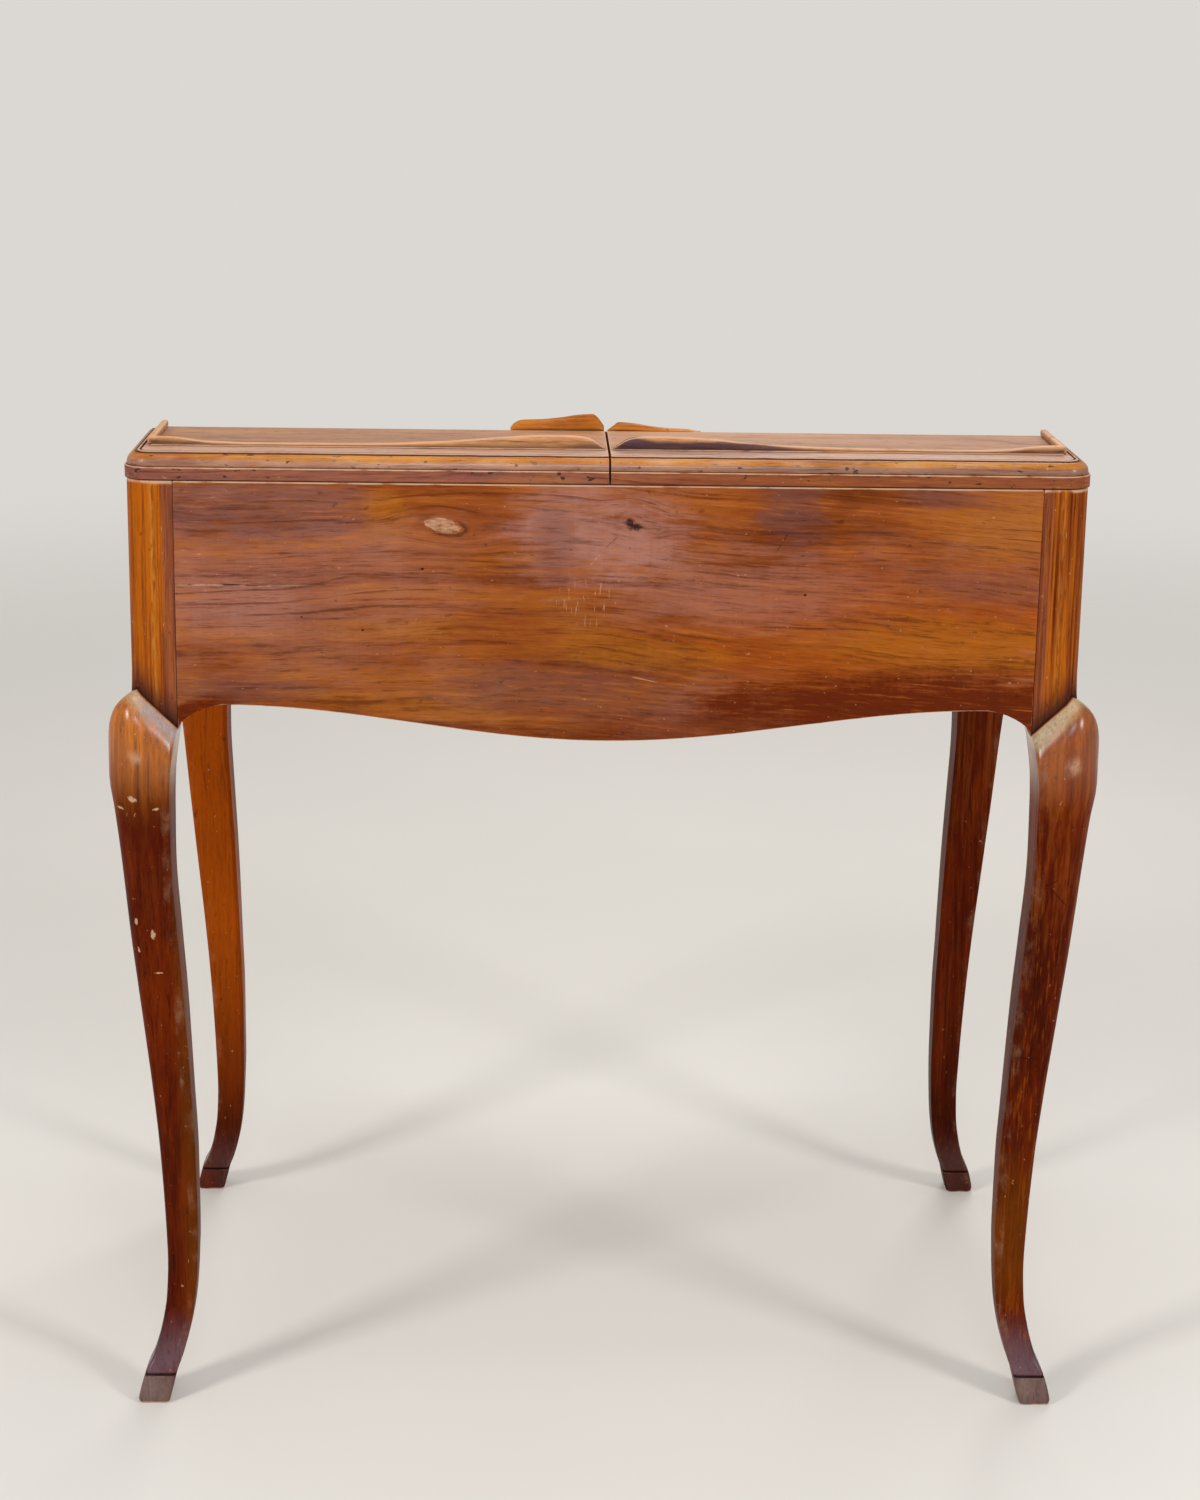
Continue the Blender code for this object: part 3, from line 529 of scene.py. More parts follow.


# Colours of the legs: bright lines and warm stretches of their shafts, the faded knee, dusty foot and
# toe, the painted reflection on the bevel under the knee's ledge, the golden streak painted as a highlight
# down the post, and the dirt and painted shade at the post's foot above the ledge
SHAFT_BRIGHT = (0.270, 0.060, 0.002)
SHAFT_GOLD = (0.170, 0.045, 0.0015)
SHAFT_WARM_RIGHT = (0.200, 0.052, 0.0015)
SHAFT_WARM_LEFT = (0.450, 0.084, 0.0015)
KNEE_FADED = (0.720, 0.208, 0.008)
FOOT_DUST = (0.140, 0.080, 0.100)
TOE_DUST = ((0.30, (0.110, 0.068, 0.055)), (0.70, (0.260, 0.182, 0.146)))
BEVEL_REFLECTION_RIGHT = (0.560, 0.445, 0.275)
BEVEL_REFLECTION_LEFT = (0.475, 0.420, 0.410)
BEVEL_REFLECTION_OUTER = (0.560, 0.370, 0.170)
POST_HIGHLIGHT_STREAK = (0.560, 0.220, 0.030)
POST_FOOT_DIRT_AND_SHADE = (0.040, 0.012, 0.012)
POST_HIGHLIGHT_INWARD = 0.0200


def below_ledge(field):
    """How far a place on a leg lies below the sloping ledge of its knee."""
    across = HALF_WIDTH - abs(field.x)
    along = FRONT - abs(field.y)
    return KNEE_TOP + KNEE_CREST - across.most(along) * KNEE_LEDGE_SLOPE - field.z


def leg_zones(finish):
    """The posts are amber with a golden streak painted as a highlight and dirt with painted shade above the knee;
    the legs below darken towards dusty purple feet, the far legs more so as painted shade, and the knee's bevel
    carries a painted reflection.
    """
    def paint(graph, field, colour):
        x, y, z, plain = field.x, field.y, field.z, field.plain
        lift = graph.noise(plain, (5.0, 40.0, 40.0), 4.0, 0.6, seed=14.0)
        fleck = graph.noise(plain, (60.0, 420.0, 420.0), 4.0, 0.65, seed=16.0)
        streaky = graph.noise(plain, (7.0, 190.0, 190.0), 4.0, 0.62, seed=18.0)
        lines = graph.noise(plain, (6.0, 460.0, 460.0), 4.0, 0.65, seed=20.0)
        left = x.fall(-0.01, 0.01)
        far = y.rise(-0.01, 0.01)
        near = 1 - far
        faded = left * y.fall(0.200, 0.222)
        inward = HALF_WIDTH - abs(x)
        below = below_ledge(field)

        upper = z.rise(0.33, 0.45) * streaky.rise(0.42, 0.62) * (1 - left * 0.7)
        shaft = z.fall(0.42, 0.50)
        # The far legs carry fewer bright lines, as painted shade
        bright = lines.fall(0.34, 0.48) * shaft * (0.54 - left * 0.40) * (1 - far * 0.5)
        dark = lines.rise(0.53, 0.68) * shaft
        inner_gold = left * near * inward.rise(0.024, 0.036) * shaft
        warm_right = (1 - left) * near * z.rise(0.06, 0.11) * z.fall(0.15, 0.24)
        warm_left = faded * far * z.rise(0.02, 0.30) * (0.25 + lines * 0.95)
        # Painted shade: the far legs darken towards the floor
        painted_far_shade = far * (1 - left * 0.6) * z.fall(0.05, 0.30)
        knee = z.rise(0.480, 0.565) * (0.44 + faded * 0.16 + (streaky - 0.5) * 1.4 + (lift - 0.5) * 0.6)
        # The far legs keep little dust on the foot and toe, so they stay dark as painted shade
        foot = z.fall(0.024, 0.080) * lift.rise(0.26, 0.52) * (1 - far * 0.9)
        toe = z.fall(0.0222, 0.0226) * (1 - far * 0.85)
        # Painted reflection: a pale band down the bevel under the knee's ledge
        bevel = below.rise(0.0004, 0.0024) * below.fall(0.0052, 0.0190) * (lift * 0.6 + fleck * 1.2)
        silver_reflection = graph.mix(left, BEVEL_REFLECTION_RIGHT, BEVEL_REFLECTION_LEFT)
        colour = graph.lay(
            colour,
            (upper * 0.45, finish.walnut),
            (bright, SHAFT_BRIGHT),
            (dark * 0.62, finish.leg_line),
            (inner_gold * 0.45, SHAFT_GOLD),
            (warm_right * 0.45, SHAFT_WARM_RIGHT),
            (warm_left, SHAFT_WARM_LEFT),
            (painted_far_shade * 0.70, finish.leg_line),
            (knee, graph.mix(faded * 0.8, finish.knee, KNEE_FADED)),
            (foot * 0.84, FOOT_DUST),
            (toe * 0.75, graph.ramp(lift, TOE_DUST)),
            (bevel * 0.90, graph.mix(inward.rise(-0.004, 0.020), BEVEL_REFLECTION_OUTER, silver_reflection)))

        figure = (lines - 0.5) * 1.1 + (streaky - 0.5) * 0.6 + (lift - 0.5) * 0.4
        post = graph.ramp(figure + 0.455 + left * 0.06, (
            (0.26, finish.russet), (0.44, finish.walnut), (0.58, finish.knee)))
        # Painted highlight: a golden streak down the post's round
        streak = abs(inward - POST_HIGHLIGHT_INWARD + (lift - 0.5) * 0.006).fall(0.0004, 0.0030)
        inner_strip = inward.rise(0.0250, 0.0300) * (lift * 0.9 + 0.20)
        post = graph.lay(
            post,
            (streak * fleck.rise(0.36, 0.62) * (left * 0.40 + 0.35), POST_HIGHLIGHT_STREAK),
            (inner_strip * (0.46 + left * 0.26), finish.shade),
            # Dirt and painted shade in the corner above the knee's ledge
            (below.rise(-0.032, -0.001) * (lift * 0.7 + 0.45), POST_FOOT_DIRT_AND_SHADE))
        return graph.mix(below.fall(-0.0004, 0.0004), colour, post)
    return paint


def knee_polish(field):
    """Hands and skirts have polished the knees, shoes the feet."""
    z = field.z
    knee = z.rise(0.500, 0.550) * below_ledge(field).rise(0.0, 0.001) * 1.35
    return knee.most(z.fall(0.030, 0.075) * z.rise(0.0245, 0.0255) * 0.6)


# Chips in the left leg of the finished back: X, Z, half length, half height and tilt
CHIPS = (
    (-0.3600, 0.5088, 0.0040, 0.0022, -0.5),
    (-0.3700, 0.5000, 0.0028, 0.0011, -0.1),
    (-0.3420, 0.5010, 0.0026, 0.0012, 0.2),
    (-0.3480, 0.3970, 0.0021, 0.0040, 0.0),
    (-0.3608, 0.4076, 0.0013, 0.0030, 0.0),
    (-0.3596, 0.3837, 0.0010, 0.0026, 0.2),
    (-0.3446, 0.3650, 0.0036, 0.0007, 0.0),
)

# Dark cuts across the right leg of the finished back, from X, Z to X, Z, and their width
CUTS = (
    (0.3445, 0.4420, 0.3603, 0.4246),
    (0.3253, 0.2960, 0.3467, 0.2955),
    (0.3400, 0.4420, 0.3520, 0.4480),
)
CUT_WIDTH = 0.00055


def leg_marks(graph, field):
    """A few pale chips in the polish of one leg and dark cuts in the other."""
    x, z = field.x, field.z
    near = field.y.fall(-0.01, 0.01)
    ragged = (graph.noise(graph.place(x, z, 0.0), (420.0, 420.0, 1.0), 3.0, 0.7, seed=4.0) - 0.5) * 3.2
    pale = strongest(*((oval(x, z, chip) + ragged).fall(0.5, 1.0) for chip in CHIPS))
    dark = strongest(*(stroke(x, z + ragged * 0.0004, ends, CUT_WIDTH) for ends in CUTS))
    return dark * near * 0.75, pale * near * 0.8


# Colours of the lids: their band, the hollow of the moulding painted as its shaded lower half and the round
# painted as lit from above, the top painted tan as its sheen, and its back edge painted paler as a reflection
BAND_TONES = ((0.34, (0.135, 0.058, 0.058)), (0.50, (0.262, 0.092, 0.068)), (0.66, (0.350, 0.128, 0.056)))
BAND_RED = (0.250, 0.062, 0.010)
SHADED_HOLLOW_TONES = ((0.35, (0.295, 0.140, 0.096)), (0.65, (0.560, 0.330, 0.232)))
SHADED_HOLLOW_DARK = (0.175, 0.082, 0.052)
LIT_ROUND_TONES = ((0.35, (0.410, 0.116, 0.008)), (0.65, (0.610, 0.250, 0.028)))
TOP_SHEEN_TONES = ((0.34, (0.360, 0.168, 0.088)), (0.64, (0.580, 0.295, 0.138)))
TOP_EDGE_REFLECTION = (0.640, 0.450, 0.380)


def lid_zones(seat, band, top, ledge):
    """The band is redder; the round above it is painted gold where lit from above over grey where shaded; the top
    is painted tan as its sheen, paler along the back edge as a painted reflection.
    """
    rim = seat + band
    middle = (rim + top) / 2

    def paint(graph, field, colour):
        z, plain = field.z, field.plain
        right = field.x.rise(-0.05, 0.10)
        figure = graph.noise(plain, (9.0, 60.0, 60.0), 5.0, 0.65, seed=13.0)
        shine = graph.noise(plain, (12.0, 40.0, 40.0), 4.0, 0.6, seed=17.0)
        sheen = graph.noise(plain, (5.0, 26.0, 26.0), 4.0, 0.6, seed=19.0)
        low = z.fall(rim - 0.0006, rim + 0.0004)
        rounds = z.rise(rim + 0.0006, rim + 0.0010) * z.fall(top - 0.0018, top - 0.0012)
        # Painted light and shade: the round is gold on its upper half, which faces the light, over grey on its
        # lower half
        upper = (z + (shine - 0.5) * 0.0030).rise(middle - 0.0008, middle + 0.0010)
        flat = z.rise(top - 0.0006, top - 0.0002)
        hollow = graph.mix(right * 0.55, graph.ramp(shine, SHADED_HOLLOW_TONES), SHADED_HOLLOW_DARK)
        return graph.lay(
            colour,
            (low * 0.80, graph.mix(right * 0.70, graph.ramp(figure, BAND_TONES), BAND_RED)),
            (rounds * 0.85, graph.mix(upper, hollow, graph.ramp(shine, LIT_ROUND_TONES))),
            # Painted sheen on the top, and a painted reflection along its back edge
            (flat * 0.72, graph.ramp(sheen, TOP_SHEEN_TONES)),
            (flat * field.y.fall(ledge - 0.004, ledge) * 0.52, TOP_EDGE_REFLECTION))
    return paint


def lid_marks(seat, top):
    """Dark nicks along the mouldings, and no pale ones."""
    def marked(graph, field):
        nicks = graph.noise(field.plain, (95.0, 190.0, 190.0), 2.0, 0.55, seed=43.0).rise(0.655, 0.70)
        within = field.z.rise(seat + 0.0006, seat + 0.0010) * field.z.fall(top - 0.0014, top - 0.0010)
        return nicks * within * 0.9, 0.0
    return marked


def lid_polish(seat, band, top):
    """The round of the moulding shines most."""
    rim = seat + band

    def shine(field):
        return field.z.rise(rim + 0.0006, rim + 0.0012) * field.z.fall(top - 0.0018, top - 0.0012) * 0.3
    return shine


# Ledge faces painted light, as lit from the front
LIT_LEDGE_TONES = ((0.34, (0.640, 0.280, 0.110)), (0.66, (0.880, 0.490, 0.225)))


def ledge_zones(finish, foot):
    """Ledges are painted light orange, as lit from the front, with purple along their foot as a painted
    reflection, taller as inky stain at their tips and on the right.
    """
    def paint(graph, field, colour):
        x = abs(field.x)
        mottle = graph.noise(field.plain, (30.0, 160.0, 160.0), 4.0, 0.65, seed=47.0)
        tips = x.fall(0.012, 0.040).most(x.rise(0.285, 0.325) * 0.7)
        inky = field.x.rise(0.0, 0.010) * x.fall(0.10, 0.17)
        reach = 0.0014 + tips * 0.0040 + inky * 0.0056 + (mottle - 0.5) * 0.0055
        # Painted reflection along the foot, taller as inky stain at the tips and on the right ledge
        ink_and_reflection_mask = (reach - (field.z - foot)).rise(-0.0018, 0.0018) * (0.55 + inky * 0.37)
        return graph.lay(colour, (0.88, graph.ramp(mottle, LIT_LEDGE_TONES)), (ink_and_reflection_mask, finish.ink_and_reflection))
    return paint


# Marks of the finished back, as places on its face: X, Z, half length, half height and tilt
PALE_KNOT = (-0.1250, 0.7192, 0.0170, 0.0066, -0.22)
DARK_KNOT = (0.0200, 0.7222, 0.0080, 0.0055, -0.15)
COMBED_PATCH = (-0.0150, 0.6610, 0.0300, 0.0220, 0.0)
KNOCKS = (
    (-0.1400, 0.6858, 0.0014, 0.0011, 0.4),
    (0.1486, 0.6687, 0.0013, 0.0011, 0.0),
    (-0.2310, 0.6480, 0.0009, 0.0008, 0.0),
    (-0.1850, 0.6385, 0.0011, 0.0010, 0.0),
)

# Scratches of the finished back, dark and pale, from X, Z to X, Z, and their widths
SCRATCHES = (
    (0.0064, 0.7119, -0.0032, 0.7026),
    (0.2733, 0.6753, 0.3229, 0.6688),
    (0.1250, 0.6991, 0.1357, 0.7183),
)
SCRATCH_WIDTH = 0.00042
PALE_SCRATCHES = (
    (-0.0062, 0.6986, -0.0150, 0.6886),
    (0.0180, 0.6042, 0.0400, 0.5996),
)
PALE_SCRATCH_WIDTH = 0.00040

# The crack along the finished back: X of its start and end, its Z, and its width
CRACK = (-0.3240, -0.2090, 0.6722)
CRACK_WIDTH = 0.00045


def oval(x, z, mark):
    """Squared distance from a mark's centre, 1 on its rim."""
    centre_x, centre_z, long, high, tilt = mark
    turn, lean = math.cos(tilt), math.sin(tilt)
    across, up = x - centre_x, z - centre_z
    way = (across * turn + up * lean) * (1 / long)
    off = (up * turn - across * lean) * (1 / high)
    return way * way + off * off


def stroke(x, z, ends, width):
    """1 on a straight thin line between two places, 0 away from it."""
    x0, z0, x1, z1 = ends
    length = math.hypot(x1 - x0, z1 - z0)
    way_x, way_z = (x1 - x0) / length, (z1 - z0) / length
    along = ((x - x0) * way_x + (z - z0) * way_z) * (1 / length)
    off = abs((z - z0) * way_x - (x - x0) * way_z)
    return off.fall(width * 0.5, width * 1.4) * along.rise(0.0, 0.15) * along.fall(0.75, 1.0)


def knot_push(graph, x, z):
    """Shift of the grain: it dips to the right and goes round the two knots."""
    total = (x + graph.math("SQRT", x * x + 0.012)) * 0.046
    for (knot_x, knot_z, long, high, tilt), reach in ((PALE_KNOT, 2.6), (DARK_KNOT, 3.6)):
        near = oval(x, z, (knot_x, knot_z, long * reach, high * reach, tilt)).fall(0.0, 1.5)
        total = total + (z - knot_z) * near * -0.60
    return total


# Stains of the finished back, its pale wax patches painted also as reflection: the finish's colour, then X, Z,
# half length, half height, tilt and strength
STAINS = (
    ("shade", -0.266, 0.727, 0.080, 0.023, 0.00, 0.75),
    ("gold", -0.167, 0.729, 0.017, 0.016, 0.00, 0.60),
    ("gold", -0.161, 0.639, 0.050, 0.009, 0.00, 0.60),
    ("haze", -0.285, 0.655, 0.050, 0.020, 0.00, 0.40),
    ("shade", -0.274, 0.590, 0.055, 0.014, 0.00, 0.55),
    ("haze", -0.006, 0.716, 0.056, 0.038, 0.00, 0.92),
    ("shade", -0.040, 0.706, 0.014, 0.030, 0.00, 0.45),
    ("shade", -0.030, 0.590, 0.095, 0.023, 0.00, 0.55),
    ("ember", 0.235, 0.628, 0.160, 0.055, 0.00, 0.95),
    ("gold", 0.010, 0.622, 0.070, 0.012, -0.06, 0.55),
    ("shade", 0.139, 0.733, 0.024, 0.032, 0.10, 0.65),
    ("haze", 0.085, 0.672, 0.095, 0.027, -0.05, 0.45),
    ("gold", 0.262, 0.628, 0.110, 0.022, -0.05, 0.58),
    ("gold", 0.315, 0.722, 0.055, 0.022, 0.00, 0.50),
    ("shade", 0.288, 0.675, 0.055, 0.012, -0.06, 0.50),
    ("russet", 0.265, 0.584, 0.160, 0.026, 0.00, 1.30),
    ("russet", 0.085, 0.562, 0.110, 0.014, 0.00, 0.60),
    ("haze", -0.250, 0.670, 0.120, 0.065, 0.00, 0.30),
    ("gold", -0.134, 0.577, 0.095, 0.007, -0.10, 0.50),
    ("russet", -0.311, 0.5735, 0.028, 0.0095, 0.36, 1.20),
    ("shade", 0.245, 0.742, 0.030, 0.006, 0.00, 0.60),
)


def back_zones(finish):
    """Soft stains over the back: pale wax bloom painted also as reflection, purple shade, gold, ember and russet.
    """
    def paint(graph, field, colour):
        plain = field.plain
        ragged = (graph.noise(plain, (14.0, 44.0, 44.0), 6.0, 0.70, seed=81.0) - 0.5) * 4.0
        thread = graph.noise(plain, (16.0, 300.0, 300.0), 3.0, 0.6, seed=83.0)
        comb = graph.noise(plain, (300.0, 22.0, 22.0), 3.0, 0.6, seed=85.0)
        strength = thread * 1.1 + comb * 0.6 + 0.05
        fray = (thread - 0.5) * 2.4
        for kind, *mark, share in STAINS:
            spread = (oval(field.x, field.z, mark) * 0.8 + ragged + fray).fall(0.0, 1.6)
            colour = graph.mix(spread * strength * share, colour, getattr(finish, kind))
        return colour
    return paint


def crack_masks(graph, x, z):
    """Masks of the crack's dark gap, and of its pale lip where the gap is shut."""
    start, end, level = CRACK
    run = graph.place(x, 0.0, 0.0)
    off = z - (level + (graph.noise(run, (22.0, 1.0, 1.0), 3.0, 0.6, seed=8.0) - 0.5) * 0.0030)
    stretch = x.rise(start - 0.004, start) * x.fall(end - 0.055, end)
    agape = graph.noise(run, (75.0, 1.0, 1.0), 2.0, 0.6, seed=6.0).rise(0.34, 0.60) * x.fall(-0.285, -0.225)
    gap = abs(off).fall(CRACK_WIDTH * 0.6, CRACK_WIDTH * 1.5) * stretch * (agape * 0.85 + 0.10)
    lip = off.rise(-0.0014, -0.0006) * off.fall(-0.0001, 0.0006) * stretch * (1 - agape) * 0.55
    return gap, lip


def back_marks(graph, field):
    """A dark star knot, the shade of a pale knot, a thin crack, knocks and scratches on the back."""
    x, z = field.x, field.z
    flat = graph.place(x, z, 0.0)
    ragged = graph.noise(flat, (260.0, 300.0, 1.0), 3.0, 0.7, seed=4.0)
    broken = ragged.rise(0.34, 0.58)
    star = oval(x, z, DARK_KNOT) + (ragged - 0.5) * 2.6
    lower_left = ((x - DARK_KNOT[0]) * 0.7 + (z - DARK_KNOT[1])).fall(-0.0010, 0.0030)
    knot = star.rise(-0.10, 0.25) * star.fall(0.55, 1.15) * lower_left * ragged.rise(0.30, 0.50)
    rim = oval(x, z, PALE_KNOT) + (ragged - 0.5) * 0.7
    under = ((x - PALE_KNOT[0]) * 0.35 - (z - PALE_KNOT[1])).rise(-0.002, 0.006)
    shadow = rim.rise(0.72, 0.98) * rim.fall(1.00, 1.75) * (under * 0.60 + 0.10)
    knocks = [oval(x, z, knock).fall(0.55, 1.15) * 0.95 for knock in KNOCKS]
    scratches = [stroke(x, z, ends, SCRATCH_WIDTH) * broken * 0.62 for ends in SCRATCHES]
    gap, lip = crack_masks(graph, x, z)
    combed = graph.noise(flat, (560.0, 75.0, 1.0), 2.0, 0.6, seed=10.0).rise(0.60, 0.70)
    combed = combed * oval(x, z, COMBED_PATCH).fall(0.1, 1.0) * 0.55
    pale = [stroke(x, z, ends, PALE_SCRATCH_WIDTH) * broken * 0.55 for ends in PALE_SCRATCHES]
    return strongest(knot, shadow, gap, *knocks, *scratches), strongest(lip, combed, *pale)


def plain_wood(name, axis, low, high):
    """Dry secondary wood inside the desk, unpolished, from its low tone to its high one."""
    material, graph = new_finish(name)
    field = grain_fields(graph, axis)
    tone = (0.5 + (field.streak - 0.5) * 0.9 + (field.band - 0.5) * 0.7 + (field.fibre - 0.5) * 0.4
            - field.late * 0.2)
    stain = graph.noise(field.plain, (7.0, 12.0, 12.0), 4.0, 0.6, seed=19.0).rise(0.50, 0.72)
    colour = graph.lay(
        graph.ramp(tone, ((0.20, low), (0.72, high))),
        (stain * 0.45, scaled(low, 0.42)),
        (field.pore * 0.4, scaled(low, 0.35)),
        (graph.attribute("wear") * 0.25, high))
    height = field.streak * 0.4 + field.fibre * 0.35 - field.pore * 0.5
    dress(graph, Base_Color=colour, Roughness=0.62 + (field.fibre - 0.5) * 0.2,
          Normal=graph.bump(height, 0.0004, 0.6), Specular_IOR_Level=0.35)
    return material


KNOT_TONES = ((0.30, (0.150, 0.048, 0.020)), (0.48, (0.400, 0.175, 0.078)), (0.66, (0.560, 0.290, 0.150)))
KNOT_SPLIT = (0.060, 0.020, 0.010)


def knot_wood(finish):
    """Pale torn wood of the filled knot."""
    material, graph = new_finish("knot_wood")
    place = graph.spot()
    torn = graph.noise(place, (150.0, 1.0, 420.0), 5.0, 0.68, seed=2.0)
    split = graph.noise(place, (60.0, 1.0, 520.0), 2.0, 0.5, seed=9.0).rise(0.62, 0.68)
    # The knot's rim and sides are darkened by dirt and painted shade
    colour = graph.lay(graph.ramp(torn, KNOT_TONES), (split * 0.8, KNOT_SPLIT),
                       (graph.attribute("grime"), finish.walnut_dark))
    dress(graph, Base_Color=colour, Roughness=0.55 + (torn - 0.5) * 0.3,
          Normal=graph.bump(torn - split * 0.6, 0.0006, 0.7), Coat_Weight=0.1, Coat_Roughness=0.3)
    return material


# Gilt lines of the leather: distance from its rim, and the half widths between which they fade
BROAD_LINE = (0.0130, 0.0007, 0.0011)
FINE_LINE = (0.0175, 0.0002, 0.0005)


def old_leather(finish):
    """Worn writing leather with two tooled gilt lines inside its rim."""
    material, graph = new_finish("writing_leather")
    place = graph.spot()
    cells = graph.add("ShaderNodeTexVoronoi", {"feature": "DISTANCE_TO_EDGE"},
                      {"Vector": place, "Scale": 900.0})
    wrinkle = graph.noise(place, (240.0, 240.0, 240.0), 4.0, 0.6, seed=3.0)
    shade = graph.noise(place, (9.0, 9.0, 9.0), 4.0, 0.6, seed=5.0)
    dark, pale = scaled(finish.leather, 0.45), scaled(finish.leather, 2.1)
    rim = graph.attribute("rim")
    lines = strongest(*(abs(rim - inset).fall(*fade) for inset, *fade in (BROAD_LINE, FINE_LINE)))
    rubbed = graph.noise(place, (130.0, 130.0, 130.0), 3.0, 0.6, seed=8.0).rise(0.36, 0.55)
    gold = lines * rubbed
    colour = graph.lay(
        graph.ramp(shade * 0.9 + (wrinkle - 0.5) * 0.4, ((0.25, dark), (0.50, finish.leather), (0.78, pale))),
        (cells.fall(0.0, 0.10) * 0.5, dark),
        (gold, finish.gilt))
    height = cells.rise(0.0, 0.14) * 0.5 + wrinkle * 0.5 - lines * 0.8
    dress(graph, Base_Color=colour, Roughness=0.50 + (shade - 0.5) * 0.25 - gold * 0.12, Metallic=gold,
          Normal=graph.bump(height, 0.00035, 0.6))
    return material


def old_metal(name, bright, tarnish, rough):
    """Cast or rolled metal, brighter where hands rub it and dark in its pits."""
    material, graph = new_finish(name)
    place = graph.spot()
    cloud = graph.noise(place, (60.0, 60.0, 60.0), 5.0, 0.62, seed=4.0)
    pits = graph.noise(place, (520.0, 520.0, 520.0), 3.0, 0.6, seed=7.0)
    tones = ((0.32, tarnish), (0.56, bright), (0.80, scaled(bright, 1.25)))
    colour = graph.mix(pits.rise(0.62, 0.74) * 0.6, graph.ramp(cloud + (pits - 0.5) * 0.35, tones),
                       scaled(tarnish, 0.5))
    roughness = rough + (cloud - 0.5) * 0.30 + (pits - 0.5) * 0.2
    dress(graph, Base_Color=colour, Metallic=1.0, Roughness=roughness.most(0.15),
          Normal=graph.bump(pits * 0.6 + cloud * 0.4, 0.0003, 0.35))
    return material


# The finishes by their short names, once they are mixed
FINISHES = {}


class DESK_OT_finishes(bpy.types.Operator):
    """Mix the finishes of the woods, the leather and the metals"""

    bl_idname = "desk.finishes"
    bl_label = "Finishes"

    pull_warmth = (1.40, 1.65, 1.10)

    def execute(self, context):
        finish = context.scene.desk_finish
        self.mix_walnut(finish, context.scene.desk_shape.band_height)
        dry = scaled(finish.inner_wood, 0.55)
        for axis in "XY":
            FINISHES[f"inner_{axis}"] = plain_wood(f"inner_wood_{axis.lower()}", axis, dry, finish.inner_wood)
        FINISHES["knot"] = knot_wood(finish)
        FINISHES["leather"] = old_leather(finish)
        tarnish = scaled(finish.brass, 0.32)
        FINISHES["brass"] = old_metal("old_brass", finish.brass, tarnish, 0.36)
        dull = scaled(finish.brass, 0.46)
        FINISHES["tarnished"] = old_metal("tarnished_brass", dull, scaled(tarnish, 0.5), 0.46)
        FINISHES["iron"] = old_metal("dark_iron", finish.iron, scaled(finish.iron, 0.5), 0.48)
        return {"FINISHED"}

    def mix_walnut(self, finish, band):
        """The polished walnut of the outer pieces, with the marks of each."""
        tones = (finish.walnut_dark, finish.walnut, finish.walnut_amber)
        leg_tones = (finish.leg_dark, finish.leg, finish.leg_amber)
        pull_tones = [[channel * share for channel, share in zip(tone, self.pull_warmth)] for tone in tones]
        low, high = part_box("shelf_lid_left")
        seat, top = low.z, high.z
        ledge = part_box("back_ledge_left")[0].y
        FINISHES["back"] = walnut(
            "walnut_back", "X", finish, tones, 0.40, zones=back_zones(finish), push=knot_push,
            marks=back_marks, coat=0.02, specular=0.05, grain=0.98, worm=0.4)
        for axis in "XY":
            FINISHES[f"case_{axis}"] = walnut(f"walnut_case_{axis.lower()}", axis, finish, tones, 0.35)
        FINISHES["legs"] = walnut(
            "walnut_legs", "Z", finish, leg_tones, 0.0, zones=leg_zones(finish), gloss=0.36, marks=leg_marks,
            coat=0.02, specular=0.02, polish=knee_polish, grain=0.62, coat_index=1.65, coat_rough=0.28)
        FINISHES["lids"] = walnut(
            "walnut_lids", "X", finish, tones, 0.30, zones=lid_zones(seat, band, top, ledge), gloss=0.36,
            marks=lid_marks(seat, top), polish=lid_polish(seat, band, top))
        FINISHES["ledges"] = walnut(
            "walnut_ledges", "X", finish, tones, 0.25, zones=ledge_zones(finish, top), gloss=0.36)
        FINISHES["pulls"] = walnut("walnut_pulls", "X", finish, pull_tones, 0.04, gloss=0.52, coat=0.0)


